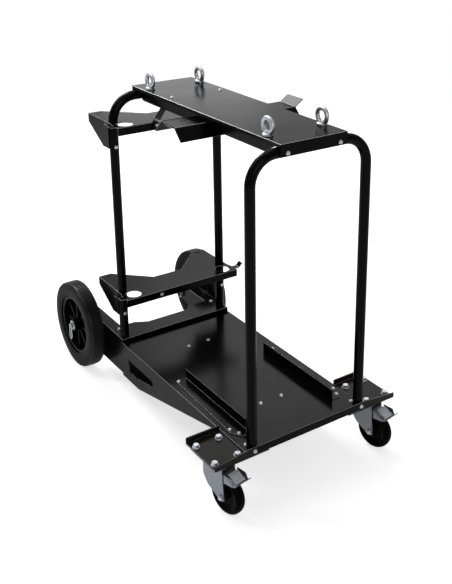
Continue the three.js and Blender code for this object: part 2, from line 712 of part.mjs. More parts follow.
addPart('lower_bottle_bracket', bracket(lowerBracketTop), powderCoat);

// Struts from the underside of the top plate to the front flange of the upper bracket.
const strutTop = topHeight - thinSheet - fit - strutThickness / 2;
const strutY = topEnd - strutFromEnd;
const strutFootY = bracketFront - fit - strutThickness / 2;
const strutLine = [
  [strutY - strutPad / 2, strutTop], [strutY + strutPad / 2, strutTop],
  [strutFootY, upperBracketTop], [strutFootY, upperBracketTop - strutFoot]];
for (const [word, side] of sides) {
  const start = side * (topHalf - strutInset) - strutWidth / 2;
  const strut = flat('yz', strip(strutLine, strutThickness), start, strutWidth);
  addPart(`${word}_bracket_strut`, strut, powderCoat);
}

// Guide rails: upright leg facing the middle, foot screwed to the deck on the outer side.
const railFront = -hoopHalf + railFrontBehind;
const railRear = railFront + railLength;
const railBase = deckTop + fit;
for (const [word, side] of sides) {
  const inner = railSpacing / 2;
  const foot = outline([
    [side * inner, railFront], [side * (inner + railFootEnd), railFront],
    [side * (inner + railFootFront), railFront + railTabStart],
    [side * (inner + railFootFront - railFootStep), railFront + railTabEnd],
    [side * (inner + railFoot), railRear], [side * inner, railRear]]);
  const legEnds = [side * inner, side * (inner + railThickness)].sort((a, b) => a - b);
  const leg = box(...legEnds, railFront, railRear, railBase, railBase + railHeight);
  addPart(`${word}_guide_rail`, flat('xy', foot, railBase, railThickness).add(leg), powderCoat);
}

// Rear wheels: rubber tyre on a spoked hub, running on a stub axle kept by a washer and a spring clip.
const rimRadius = rimDiameter / 2;
const sidewall = wheelWidth / 2;
const tread = sidewall - treadInset;
const rimHalf = sidewall - rimInset;
const shoulder = wheelRadius - shoulderDrop;
const tyreProfile = [
  [rimRadius, -rimHalf], [rimRadius + rimWall, -sidewall], [shoulder, -sidewall],
  [wheelRadius - crownDrop, -tread], [wheelRadius, -tread / 2], [wheelRadius, tread / 2],
  [wheelRadius - crownDrop, tread], [shoulder, sidewall], [rimRadius + rimWall, sidewall],
  [rimRadius, rimHalf]];
const rimProfile = [
  [rimRadius - fit, -rimHalf], [rimRadius - fit, rimHalf], [rimRadius - rimWall, rimHalf],
  [rimRadius - rimWaist, 0], [rimRadius - rimWall, -rimHalf]];
const spinHole = axleDiameter / 2 + fit;
for (const [word, side] of sides) {
  const place = (solid) => moved(solid, side * wheelMiddle, axleY, wheelRadius);
  addPart(`${word}_rear_tyre`, place(turned(tyreProfile, wheelSides)), rubber);
  const boss = turned([
    [spinHole, -hubHalf], [hubDiameter / 2, -hubHalf], [hubDiameter / 2, hubHalf],
    [spinHole, hubHalf]], raceSides);
  const spokes = Array.from({ length: spokeCount }, (_, i) => {
    const reach = rimRadius - rimWall / 2;
    const start = (hubDiameter / 2 + spinHole) / 2;
    const spoke = box(-spokeDepth / 2, spokeDepth / 2, -spokeWidth / 2, spokeWidth / 2, start, reach);
    return spoke.rotate([(360 / spokeCount) * i, 0, 0]);
  });
  addPart(`${word}_rear_hub`, place(joined([boss, turned(rimProfile, wheelSides), ...spokes])), plastic);
  const end = hubOuter + fit + washerLength + axleTail;
  const pinX = hubOuter + fit + washerLength + axleTail / 2;
  const axleParts = [
    rod('x', axleDiameter / 2, bayHalf - fit, end, [0, 0], discSides),
    rod('x', axleHeadDiameter / 2, bayHalf - fit - axleHeadLength, bayHalf - fit, [0, 0], hexSides),
    rod('x', washerDiameter / 2, deckHalf + fit, hubInner - fit, [0, 0], discSides)];
  const pinHole = rod('z', clipWire / 2 + fit, -axleDiameter, axleDiameter, [pinX, 0], pinSides);
  const axle = joined(axleParts).subtract(pinHole);
  const washerStart = hubOuter + fit;
  const washer = rod('x', washerDiameter / 2, washerStart, washerStart + washerLength, [0, 0], raceSides)
    .subtract(rod('x', spinHole, hubOuter, pinX, [0, 0], discSides));
  const loop = new THREE.CatmullRomCurve3([
    [0, clipRise], [0, -clipDrop / 2], [0, -clipDrop + clipRound], [clipTurn, -clipDrop],
    [clipBulge, -clipDrop + clipRound], [clipWaist, -clipDrop / 2], [clipEnd, 0]]
    .map(([y, z]) => new THREE.Vector3(pinX, y, z)), false, 'centripetal');
  const wire = new THREE.Shape().absarc(0, 0, clipWire / 2, 0, 2 * Math.PI);
  const clip = toSolid(new THREE.ExtrudeGeometry(wire, {
    steps: clipSteps, extrudePath: loop, curveSegments: wireSteps }));
  const seat = (solid) => {
    const turnedSide = side < 0 ? solid.mirror([1, 0, 0]) : solid;
    return moved(turnedSide, 0, axleY, wheelRadius);
  };
  addPart(`${word}_stub_axle`, seat(axle), zinc);
  addPart(`${word}_axle_washer`, seat(washer), zinc);
  addPart(`${word}_spring_clip`, seat(clip), zinc);
}

// Casters, built on the swivel axis with the wheel trailing to -Y, then turned and placed.
const pedalLine = [
  [pedalPivotY + pedalPivotDiameter, pedalMiddle + pedalTailRise], [-casterTrail, pedalMiddle],
  [-pedalBend, pedalMiddle - pedalDip], [-pedalReach, pedalMiddle - pedalLip],
  [-pedalReach - pedalLipRise, pedalMiddle - pedalLip + pedalLipRise]];
const pedalWallRear = forkFront + pedalWallGap;
const wallTop = pedalMiddle + pedalWallTop;
const wallBottom = wallTop - pedalWallHeight;
const pedalWall = [
  [-pedalWallRear, wallTop], [-pedalWallRear, wallBottom], [-pedalWallEnd, wallBottom + pedalWallToe],
  [-pedalReach, pedalMiddle - pedalLip], [-pedalWallEnd, wallTop]];
const casterHalf = casterWidth / 2;
const coreHalf = casterHalf - casterChamfer;
const casterTyre = [
  [casterCore, -coreHalf], [casterCore + casterEdge, -casterHalf],
  [casterRadius - casterShoulder, -casterHalf], [casterRadius - casterCrownDrop, -casterHalf / 2],
  [casterRadius, 0],
  [casterRadius - casterCrownDrop, casterHalf / 2], [casterRadius - casterShoulder, casterHalf],
  [casterCore + casterEdge, casterHalf], [casterCore, coreHalf]];
const casterBore = casterAxle / 2 + fit;
const casterHubEnd = casterHalf + casterHubOverhang;
const casterHub = [
  [casterBore, -casterHubEnd], [casterHubNose, -casterHubEnd], [casterHubFlare, -casterWeb / 2],
  [casterCore - fit, -coreHalf], [casterCore - fit, coreHalf], [casterHubFlare, casterWeb / 2],
  [casterHubNose, casterHubEnd], [casterBore, casterHubEnd]];
for (const [word, side] of sides) {
  const place = (solid) => moved(solid.rotate([0, 0, casterAngle]), side * casterX, casterY, 0);
  const holes = boltPlaces.map(([x, y]) => circle(x, y, boltShank / 2 + fit));
  const [plateX, plateY] = [casterPlateWide / 2, casterPlateLong / 2];
  const plateShape = outline(
    [[-plateX, -plateY], [plateX, -plateY], [plateX, plateY], [-plateX, plateY]], casterPlateRound);
  const plate = flat('xy', plateShape, casterPlateBottom, sheet, holes);
  const pinBottom = crownBottom - fit - kingpinHeadHeight;
  const race = rod('z', raceDiameter / 2, raceBottom, casterTop - sheet / 2, [0, 0], raceSides);
  const pin = rod('z', kingpinDiameter / 2, pinBottom, casterPlateBottom, [0, 0], pinSides);
  const pinHead = rod('z', kingpinHead / 2, pinBottom, crownBottom - fit, [0, 0], hexSides);
  const mount = moved(joined([plate, race, pin, pinHead]), side * casterX, casterY, 0);
  addPart(`${word}_caster_plate`, mount, blueZinc);

  const crown = rod('z', raceDiameter / 2 - crownInset, crownBottom, crownTop, [0, 0], raceSides);
  const bridge = box(-forkOuter, forkOuter, -bridgeFront, bridgeRear, crownBottom, crownBottom + forkWall);
  const legShape = () => outline([
    [forkRear, crownBottom + forkWall], [forkRear, casterRadius + forkShoulderRise],
    [forkWaistRear, casterRadius + forkWaistRise],
    [-casterTrail + forkFoot, casterRadius - forkFoot], [-casterTrail - forkFoot, casterRadius - forkFoot],
    [-forkFront, crownBottom + forkWall]], forkRound);
  const legHoles = () => [
    circle(-casterTrail, casterRadius, casterBore),
    circle(pedalPivotY, pedalPivotZ, pedalPivotDiameter / 2 + fit)];
  const legs = [-1, 1].map((end) => sideSheet(
    end, legShape(), forkInner, forkWall, legHoles(), forkHoleSteps));
  const bore = rod('z', kingpinDiameter / 2 + fit, crownBottom - sheet, crownTop + sheet, [0, 0], pinSides);
  addPart(`${word}_caster_fork`, place(joined([crown, bridge, ...legs]).subtract(bore)), blueZinc);

  const onAxle = (solid) => place(moved(solid, 0, -casterTrail, casterRadius));
  addPart(`${word}_caster_tyre`, onAxle(turned(casterTyre, casterSides)), rubber);
  addPart(`${word}_caster_hub`, onAxle(turned(casterHub, discSides)), plastic);
  const headStart = forkOuter + fit;
  const headEnd = headStart + casterAxleHeadLength;
  const bolt = joined([
    rod('x', casterAxle / 2, -headEnd, headEnd, [0, 0], pinSides),
    rod('x', casterAxleHead / 2, -headEnd, -headStart, [0, 0], hexSides),
    rod('x', casterAxleHead / 2, headStart, headEnd, [0, 0], hexSides)]);
  addPart(`${word}_caster_axle`, onAxle(bolt), zinc);

  const leverHalf = forkInner - pedalSideGap;
  const lever = flat('yz', strip(pedalLine, pedalThickness), -leverHalf, 2 * leverHalf);
  const lipLine = pedalLine.slice(-2);
  const lip = flat('yz', strip(lipLine, pedalThickness), -pedalWide / 2, pedalWide);
  const walls = [-1, 1].map((end) => sideSheet(
    end, outline(pedalWall), pedalWide / 2 - pedalThickness, pedalThickness));
  const tread = flat('yz', strip(pedalLine.slice(1, -1), pedalThickness), -pedalWide / 2, pedalWide)
    .subtract(box(-pedalWide, pedalWide, -pedalWallRear, 0, 0, casterTop));
  const pivot = rod('x', pedalPivotDiameter / 2, -forkOuter, forkOuter, [pedalPivotY, pedalPivotZ], pinSides);
  addPart(`${word}_brake_pedal`, place(joined([lever, lip, pivot, tread, ...walls])), blueZinc);
}

// Caster bolts: flanged hex heads on top of the wings, shanks through wing and caster plate.
const boltCorner = boltHex / 2 / Math.cos(Math.PI / hexSides);
const cornerWords = {
  '-1,-1': 'front_left', '-1,1': 'rear_left', '1,-1': 'front_right', '1,1': 'rear_right' };
for (const [word, side] of sides) {
  for (const [x, y] of boltPlaces) {
    const at = [side * casterX + x, casterY + y];
    const base = wingTop + fit;
    const bolt = joined([
      rod('z', boltFlange / 2, base, base + boltFlangeHeight, at, discSides),
      rod('z', boltCorner, base, base + boltFlangeHeight + boltHexHeight, at, hexSides),
      rod('z', boltShank / 2, casterPlateBottom - boltTail, base + boltFlangeHeight, at, pinSides)]);
    addPart(`${word}_caster_bolt_${cornerWords[[Math.sign(x), Math.sign(y)]]}`, bolt, zinc);
  }
}

// Screws through the lips, the end flanges of the top plate and the bracket gussets into the tubes.
for (const [word, side] of sides) {
  const tubeInside = tubeRadius - screwReach;
  const topX = side * topScrewX;
  addPart(`${word}_lip_screw`, screwY(side * legX, lipScrewZ, lipFront - fit, -hoopHalf - tubeInside), zinc);
  addPart(`${word}_front_top_screw`, screwY(topX, hoopTop, -topEnd - fit, -hoopHalf - tubeInside), zinc);
  addPart(`${word}_rear_top_screw`, screwY(topX, hoopTop, topEnd + fit, hoopHalf + tubeInside), zinc);
  for (const [level, top] of [['upper', upperBracketTop], ['lower', lowerBracketTop]]) {
    const tail = hoopHalf + tubeRadius + fit + thinSheet + screwTail;
    addPart(`${word}_${level}_bracket_screw`,
      screwY(side * legX, top - bracketScrewDrop, hoopHalf - tubeRadius - fit, tail), zinc);
  }
}

// Origin: middle of the footprint, on the floor.
cart.updateMatrixWorld(true);
const bounds = new THREE.Box3().setFromObject(cart);
const centre = bounds.getCenter(new THREE.Vector3());
for (const mesh of cart.children) mesh.geometry.translate(-centre.x, -centre.y, -bounds.min.z);

export default cart;
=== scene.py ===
import json
import math

import bmesh
import bpy
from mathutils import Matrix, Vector


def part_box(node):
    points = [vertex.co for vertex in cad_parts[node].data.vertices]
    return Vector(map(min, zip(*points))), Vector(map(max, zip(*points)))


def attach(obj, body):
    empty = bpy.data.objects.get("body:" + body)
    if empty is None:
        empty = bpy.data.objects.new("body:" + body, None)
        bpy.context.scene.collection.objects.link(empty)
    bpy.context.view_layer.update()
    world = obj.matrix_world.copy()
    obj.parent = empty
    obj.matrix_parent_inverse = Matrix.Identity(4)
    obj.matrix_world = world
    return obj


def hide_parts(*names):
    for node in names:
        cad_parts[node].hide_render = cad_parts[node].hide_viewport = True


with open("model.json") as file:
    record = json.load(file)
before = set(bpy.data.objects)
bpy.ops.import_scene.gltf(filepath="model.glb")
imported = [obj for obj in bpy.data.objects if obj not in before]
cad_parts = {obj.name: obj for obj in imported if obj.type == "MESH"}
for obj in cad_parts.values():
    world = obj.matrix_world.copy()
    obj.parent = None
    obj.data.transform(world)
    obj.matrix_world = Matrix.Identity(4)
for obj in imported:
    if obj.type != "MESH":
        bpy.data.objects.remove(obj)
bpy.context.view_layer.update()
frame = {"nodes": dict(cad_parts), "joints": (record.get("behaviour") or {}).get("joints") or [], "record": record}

mm = 0.001
scene = bpy.context.scene
cadNodes = frame["nodes"]
joints = {j["name"]: j for j in frame["joints"]}
bodyOf = {n: b for b, members in frame["record"]["behaviour"]["bodies"].items() for n in members}
slotOf = {s["node"]: s["material_slot"] for s in frame["record"]["subparts"]}
acrossCart = (1, 0, 0)
upwards = (0, 0, 1)
forwards = (0, -1, 0)
backwards = (0, 1, 0)
hexagon = 6
mergeGap = 0.001 * mm  # points closer than this are one point
onAxis = 0.01 * mm  # closes a turned profile on its axis
print("frame loaded:", len(cadNodes), "nodes")


# colours are written as sRGB hex
def linear(hexColour):
    parts = [int(hexColour[i:i + 2], 16) / 255 for i in (1, 3, 5)]
    return tuple(c / 12.92 if c <= 0.04045 else ((c + 0.055) / 1.055) ** 2.4 for c in parts) + (1.0,)


# one node, its settings and its inputs; an input is a value or another node's output
def addNode(tree, kind, inputs=None, **settings):
    node = tree.nodes.new(kind)
    for name, value in settings.items():
        setattr(node, name, value)
    for name, value in (inputs or {}).items():
        if isinstance(value, bpy.types.NodeSocket):
            tree.links.new(value, node.inputs[name])
        else:
            node.inputs[name].default_value = value
    return node


def newMaterial(name):
    material = bpy.data.materials.new(name)
    material.use_nodes = True
    tree = material.node_tree
    tree.nodes.clear()
    coordinates = addNode(tree, "ShaderNodeTexCoord").outputs["Object"]
    return material, tree, coordinates


def closeMaterial(tree, shader):
    addNode(tree, "ShaderNodeOutputMaterial", {"Surface": shader.outputs[0]})


noiseSpan = {"From Min": 0.3, "From Max": 0.7}  # most of a noise texture lies between these


# black paint on steel: even dark body, soft gloss, faint orange peel
def paintedSteel(name, look):
    material, tree, where = newMaterial(name)
    cloud = addNode(tree, "ShaderNodeTexNoise", {
        "Vector": where, "Scale": 1 / (look["cloudMm"] * mm), "Detail": 3.0})
    peel = addNode(tree, "ShaderNodeTexNoise", {
        "Vector": where, "Scale": 1 / (look["peelMm"] * mm), "Detail": 2.0})
    colour = addNode(tree, "ShaderNodeMix", {
        "Factor": cloud.outputs["Fac"], "A": linear(look["dark"]), "B": linear(look["light"])},
        data_type="RGBA")
    rough = addNode(tree, "ShaderNodeMapRange", {
        "Value": cloud.outputs["Fac"], **noiseSpan,
        "To Min": look["roughness"][0], "To Max": look["roughness"][1]})
    bump = addNode(tree, "ShaderNodeBump", {
        "Height": peel.outputs["Fac"], "Strength": look["peel"], "Distance": 0.1 * mm})
    shader = addNode(tree, "ShaderNodeBsdfPrincipled", {
        "Base Color": colour.outputs["Result"], "Roughness": rough.outputs["Result"],
        "Specular IOR Level": look["specular"], "Normal": bump.outputs["Normal"]})
    closeMaterial(tree, shader)
    return material


# zinc plate: bright metal with a faint crystalline mottle
def zincPlate(name, look):
    material, tree, where = newMaterial(name)
    mottle = addNode(tree, "ShaderNodeTexNoise", {
        "Vector": where, "Scale": 1 / (look["mottleMm"] * mm), "Detail": 4.0})
    colour = addNode(tree, "ShaderNodeMix", {
        "Factor": mottle.outputs["Fac"], "A": linear(look["dark"]), "B": linear(look["light"])},
        data_type="RGBA")
    rough = addNode(tree, "ShaderNodeMapRange", {
        "Value": mottle.outputs["Fac"], **noiseSpan,
        "To Min": look["roughness"][0], "To Max": look["roughness"][1]})
    shader = addNode(tree, "ShaderNodeBsdfPrincipled", {
        "Base Color": colour.outputs["Result"], "Roughness": rough.outputs["Result"],
        "Metallic": look["metallic"]})
    closeMaterial(tree, shader)
    return material


# solid rubber and moulded plastic: matt, slightly dusty, fine grain
def mouldedPolymer(name, look):
    material, tree, where = newMaterial(name)
    grain = addNode(tree, "ShaderNodeTexNoise", {
        "Vector": where, "Scale": 1 / (look["grainMm"] * mm), "Detail": 3.0})
    dust = addNode(tree, "ShaderNodeTexNoise", {
        "Vector": where, "Scale": 1 / (look["dustMm"] * mm), "Detail": 5.0})
    colour = addNode(tree, "ShaderNodeMix", {
        "Factor": dust.outputs["Fac"], "A": linear(look["dark"]), "B": linear(look["light"])},
        data_type="RGBA")
    bump = addNode(tree, "ShaderNodeBump", {
        "Height": grain.outputs["Fac"], "Strength": look["grain"], "Distance": 0.2 * mm})
    shader = addNode(tree, "ShaderNodeBsdfPrincipled", {
        "Base Color": colour.outputs["Result"], "Roughness": look["roughness"],
        "Specular IOR Level": look["specular"], "Normal": bump.outputs["Normal"]})
    closeMaterial(tree, shader)
    return material


# main finish of each material slot in the record
finishes = {
    # powder coat, baked satin: black sheets that softly mirror the room
    "satin_black_coat": paintedSteel("satinPowderCoat", {
        "dark": "#050506", "light": "#0a0a0b", "roughness": (0.18, 0.23), "specular": 0.08,
        "cloudMm": 90, "peelMm": 5, "peel": 0.06}),
    # enamel on bent tube: deeper black with narrow highlights
    "gloss_black_coat": paintedSteel("tubeEnamel", {
        "dark": "#040406", "light": "#08080a", "roughness": (0.08, 0.12), "specular": 0.07,
        "cloudMm": 120, "peelMm": 6, "peel": 0.08}),
    # powder coat, baked matt: browner and lighter than the sheets beside it
    "wing_black_coat": paintedSteel("wingPowderCoat", {
        "dark": "#181612", "light": "#201d18", "roughness": (0.28, 0.36), "specular": 0.14,
        "cloudMm": 60, "peelMm": 5, "peel": 0.06}),
    # new zinc: almost white bolts, screws and eyes
    "bright_zinc": zincPlate("brightZincPlate", {
        "dark": "#c2c7cf", "light": "#e4e8ee", "roughness": (0.3, 0.42), "metallic": 0.9,
        "mottleMm": 6}),
    # zinc with a blue passivated film: cool grey casters
    "blue_zinc": zincPlate("blueZincPlate", {
        "dark": "#848a91", "light": "#a6acb2", "roughness": (0.36, 0.5), "metallic": 1.0,
        "mottleMm": 9}),
    # solid rubber, pressed: black side walls almost without sheen
    "rubber": mouldedPolymer("solidRubber", {
        "dark": "#070708", "light": "#0d0d0e", "roughness": 0.3, "specular": 0.02,
        "grainMm": 3, "dustMm": 25, "grain": 0.25}),
    # polypropylene, moulded: dull black hubs, darker than the tyres
    "hub_plastic": mouldedPolymer("hubPolypropylene", {
        "dark": "#040405", "light": "#080809", "roughness": 0.4, "specular": 0.03,
        "grainMm": 2, "dustMm": 40, "grain": 0.12}),
}
# tread: a higher specular gives it real gloss, and a colour lighter than the side walls paints in the sheen its
# upper side takes
treadSheenPainted = mouldedPolymer("treadRubberPaintedSheen", {
    "dark": "#131315", "light": "#202023", "roughness": 0.34, "specular": 0.2,
    "grainMm": 3, "dustMm": 25, "grain": 0.2})
# zinc darker and rougher than the bolts: the stub axles look grey beside them
dullZinc = zincPlate("dullZincPlate", {
    "dark": "#888d92", "light": "#abb0b4", "roughness": (0.36, 0.5), "metallic": 1.0, "mottleMm": 5})
# brake pedal tread: zinc a little paler than the bolts and partly diffuse, painted light for the front light it
# catches
pedalZincPaintedLit = zincPlate("pedalZincPaintedLight", {
    "dark": "#d0d3d9", "light": "#eceef3", "roughness": (0.42, 0.55), "metallic": 0.6, "mottleMm": 7})
# grey plastic bead, moulded: a thin pale ring between tyre and hub
rimGrey = mouldedPolymer("rimGreyPlastic", {
    "dark": "#464648", "light": "#5c5c5e", "roughness": 0.4, "specular": 0.2,
    "grainMm": 2, "dustMm": 30, "grain": 0.1})
# paint worn thin over folds and cut edges, plus a painted highlight of the light from above: a pale line along the
# rolls that face up
edgeWearAndHighlight = paintedSteel("edgeWearAndPaintedHighlightCoat", {
    "dark": "#7c7c7e", "light": "#9c9c9e", "roughness": (0.22, 0.3), "specular": 0.5,
    "cloudMm": 40, "peelMm": 4, "peel": 0.05})
# fold of the top plate, painted highlight: a bright line
foldHighlight = paintedSteel("foldPaintedHighlightCoat", {
    "dark": "#c4c4c6", "light": "#e6e6e8", "roughness": (0.22, 0.3), "specular": 0.5,
    "cloudMm": 40, "peelMm": 4, "peel": 0.05})
# coat on the bottle floor, also under the deck: matt black with almost no sheen, painted a shade darker than the
# sheets as shade for the floor seen through the skirt's slot
dullPaintedShadeCoat = paintedSteel("bottleFloorPaintedShadeCoat", {
    "dark": "#030303", "light": "#060606", "roughness": (0.6, 0.75), "specular": 0.01,
    "cloudMm": 70, "peelMm": 5, "peel": 0.06})
print("materials ready")


# smooth faces, with a crease wherever two of them meet more sharply than the angle
def smoothByAngle(mesh, angle):
    shape = bmesh.new()
    shape.from_mesh(mesh)
    for face in shape.faces:
        face.smooth = True
    for edge in shape.edges:
        edge.smooth = len(edge.link_faces) == 2 and edge.calc_face_angle(0) < math.radians(angle)
    shape.to_mesh(mesh)
    shape.free()


# a finished piece: linked, smooth where it is round, riding on its node's body
def addPiece(name, mesh, material, node, smoothAngle, replaced=()):
    piece = bpy.data.objects.new(name, mesh)
    scene.collection.objects.link(piece)
    if material:
        mesh.materials.clear()
        mesh.materials.append(material)
    if smoothAngle:
        smoothByAngle(mesh, smoothAngle)
    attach(piece, bodyOf[node])
    if replaced:
        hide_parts(*replaced)


def meshFrom(shape, name):
    bmesh.ops.remove_doubles(shape, verts=shape.verts, dist=mergeGap)
    bmesh.ops.recalc_face_normals(shape, faces=shape.faces)
    mesh = bpy.data.meshes.new(name)
    shape.to_mesh(mesh)
    shape.free()
    return mesh


# equal angles once round
def fullTurn(count):
    return [2 * math.pi * k / count for k in range(count)]


def middleOf(node, axis):
    low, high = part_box(node)
    return (low[axis] + high[axis]) / 2


# rings of points joined into one skin, capped at both ends
def skinRings(shape, rings, capped=True):
    made = [[shape.verts.new(p) for p in ring] for ring in rings]
    count = len(made[0])
    for a, b in zip(made, made[1:]):
        for i in range(count):
            j = (i + 1) % count
            shape.faces.new((a[i], a[j], b[j], b[i]))
    if capped:
        shape.faces.new(made[0])
        shape.faces.new(made[-1])


# round wire or tube along a path of points
def sweepTube(shape, path, radius, sides):
    rings = []
    side = None
    for i, point in enumerate(path):
        before = path[max(i - 1, 0)]
        after = path[min(i + 1, len(path) - 1)]
        along = (after - before).normalized()
        if side is None:
            side = along.orthogonal().normalized()
        side = (side - along * side.dot(along)).normalized()
        up = along.cross(side)
        rings.append([
            point + (side * math.cos(t) + up * math.sin(t)) * radius for t in fullTurn(sides)])
    skinRings(shape, rings)


# closed profile of (radius, along) turned about an axis through centre
def turnProfile(shape, profile, centre, axis, sides):
    axis = Vector(axis).normalized()
    side = axis.orthogonal().normalized()
    up = axis.cross(side)
    columns = []
    for t in fullTurn(sides):
        out = side * math.cos(t) + up * math.sin(t)
        columns.append([
            shape.verts.new(centre + axis * along + out * radius) for radius, along in profile])
    count = len(profile)
    for k in range(sides):
        a, b = columns[k], columns[(k + 1) % sides]
        for i in range(count):
            j = (i + 1) % count
            shape.faces.new((a[i], a[j], b[j], b[i]))


# rolled edges; angle and flat in degrees, least, below, merge and weld in mm
roll = {
    "angle": 30, "least": 8,  # which edges are rolled
    "upward": 0.7, "below": 38, "wide": 1, "narrow": 0.2,  # wide only on upper faces near the top
    # pale: rolls facing up more than this keep the painted highlight finish
    "pale": 0.1, "segments": 2, "flat": 1, "merge": 0.005, "weld": 0.02}


# copy of a CAD node's shape with merged faces, its sharp edges weighted by how widely they roll
def weightedCopy(node):
    shape = bmesh.new()
    shape.from_mesh(cadNodes[node].data)
    bmesh.ops.remove_doubles(shape, verts=shape.verts, dist=roll["merge"] * mm)
    bmesh.ops.dissolve_limit(
        shape, angle_limit=math.radians(roll["flat"]), verts=shape.verts, edges=shape.edges)
    for face in shape.faces:
        face.smooth = True
    weight = shape.edges.layers.float.new("bevel_weight_edge")
    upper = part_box(node)[1][2] - roll["below"] * mm
    for edge in shape.edges:
        isSharp = edge.calc_face_angle(0) > math.radians(roll["angle"])
        if isSharp and edge.calc_length() > roll["least"] * mm:
            facesUp = any(face.normal.z > roll["upward"] for face in edge.link_faces)
            isUpper = min(v.co.z for v in edge.verts) > upper
            edge[weight] = roll["wide"] if facesUp and isUpper else roll["narrow"]
    return shape


# rolls the edges and gives the rolls that face up a finish of their own, a painted highlight
def softenedCopy(node, name, edgeMm, finish, edgeHighlightFinish):
    shape = weightedCopy(node)
    mesh = bpy.data.meshes.new(name)
    shape.to_mesh(mesh)
    shape.free()
    mesh.materials.append(finish)
    mesh.materials.append(edgeHighlightFinish)
    holder = bpy.data.objects.new(name + "Holder", mesh)
    scene.collection.objects.link(holder)
    bevel = holder.modifiers.new("edge", "BEVEL")
    bevel.width = edgeMm * mm
    bevel.segments = roll["segments"]
    bevel.limit_method = "WEIGHT"
    bevel.use_clamp_overlap = False
    bevel.material = 1
    weld = holder.modifiers.new("weld", "WELD")
    weld.merge_threshold = roll["weld"] * mm
    weighted = holder.modifiers.new("flat", "WEIGHTED_NORMAL")
    weighted.weight = 100
    weighted.keep_sharp = True
    graph = bpy.context.evaluated_depsgraph_get()
    done = bpy.data.meshes.new_from_object(
        holder.evaluated_get(graph), preserve_all_data_layers=True, depsgraph=graph)
    bpy.data.objects.remove(holder)
    # rolls facing sideways or down lose the pale finish, so the painted highlight lies only where light from above
    # falls
    for face in done.polygons:
        if face.material_index == 1 and face.normal.z < roll["pale"]:
            face.material_index = 0
    return done


# folded sheets keep their CAD shape and get rolled edges, given here in mm
sheets = {
    "deck_tray": 1.0, "bottle_platform": 1.0, "left_caster_wing": 0.8, "right_caster_wing": 0.8,
    "top_plate": 1.2, "cable_hanger": 0.9, "upper_bottle_bracket": 1.0, "lower_bottle_bracket": 1.0,
    "left_bracket_strut": 0.7, "right_bracket_strut": 0.7,
    "left_guide_rail": 0.8, "right_guide_rail": 0.8,
    "left_caster_fork": 1.0, "right_caster_fork": 1.0,
    "left_caster_plate": 1.0, "right_caster_plate": 1.0,
    "left_brake_pedal": 0.8, "right_brake_pedal": 0.8}
bottleFloor = {"thick": 4}  # reaches just over the floor's upper face
for node, edge in sheets.items():
    finish = finishes[slotOf[node]]
    # up-facing rolls of the sheets get a painted highlight, the top plate's folds a brighter one
    edgeHighlightFinish = finish if slotOf[node] == "blue_zinc" else edgeWearAndHighlight
    if node == "top_plate":
        edgeHighlightFinish = foldHighlight
    mesh = softenedCopy(node, "soft_" + node, edge, finish, edgeHighlightFinish)
    # the bottle floor's upper face, also under the deck, takes the darker matt coat: painted shade
    if node == "bottle_platform":
        mesh.materials.append(dullPaintedShadeCoat)
        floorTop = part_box(node)[0][2] + bottleFloor["thick"] * mm
        for face in mesh.polygons:
            if face.normal.z > roll["upward"] and face.center.z < floorTop:
                face.material_index = 2
    addPiece("soft_" + node, mesh, None, node, None, (node,))
print("sheet pieces ready:", len(sheets))


# bent tube hoops, their other sizes read from the CAD boxes
hoop = {"bendRadius": 66, "bendSteps": 14, "sides": 40, "smooth": 50}


def hoopPath(node):
    low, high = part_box(node)
    radius = (high[1] - low[1]) / 2
    legX, top, bend = high[0] - radius, high[2] - radius, hoop["bendRadius"] * mm
    half = [(-legX, low[2])]
    for i in range(hoop["bendSteps"] + 1):
        t = math.pi / 2 * i / hoop["bendSteps"]
        half.append((-legX + bend * (1 - math.cos(t)), top - bend * (1 - math.sin(t))))
    line = half + [(-x, z) for x, z in reversed(half)]
    return [Vector((x, middleOf(node, 1), z)) for x, z in line], radius


for node in ("front_hoop", "rear_hoop"):
    path, radius = hoopPath(node)
    shape = bmesh.new()
    sweepTube(shape, path, radius, hoop["sides"])
    addPiece(
        "bent_" + node, meshFrom(shape, node), finishes["gloss_black_coat"], node, hoop["smooth"], (node,))
print("hoops ready")


# eye bolts: forged ring over a collar with a waisted neck, its outline as (radius, height) in mm
eye = {
    "bar": 11, "ringSides": 44, "barSides": 18, "collarSides": 32, "smooth": 40,
    "collar": ((0.1, 0.2), (11.5, 0.2), (12.5, 1), (12.5, 5), (11, 6.5), (9, 7.5), (8, 10), (0.1, 10))}
for node in [n for n in cadNodes if n.startswith("eye_bolt")]:
    low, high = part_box(node)
    x, y = middleOf(node, 0), middleOf(node, 1)
    bar = eye["bar"] * mm / 2
    ring = (high[1] - low[1]) / 2 - bar
    middle = Vector((x, y, high[2] - ring - bar))
    shape = bmesh.new()
    circle = []
    for t in fullTurn(eye["ringSides"]):
        out = Vector((0, math.cos(t), math.sin(t)))
        circle.append([
            middle + out * (ring + bar * math.cos(s)) + Vector((bar * math.sin(s), 0, 0))
            for s in fullTurn(eye["barSides"])])
    skinRings(shape, circle + [circle[0]], False)
    turnProfile(
        shape, [(radius * mm, height * mm) for radius, height in eye["collar"]],
        Vector((x, y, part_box("top_plate")[1][2])), upwards, eye["collarSides"])
    addPiece("ring_" + node, meshFrom(shape, node), finishes["bright_zinc"], node, eye["smooth"], (node,))
print("eye bolts ready")


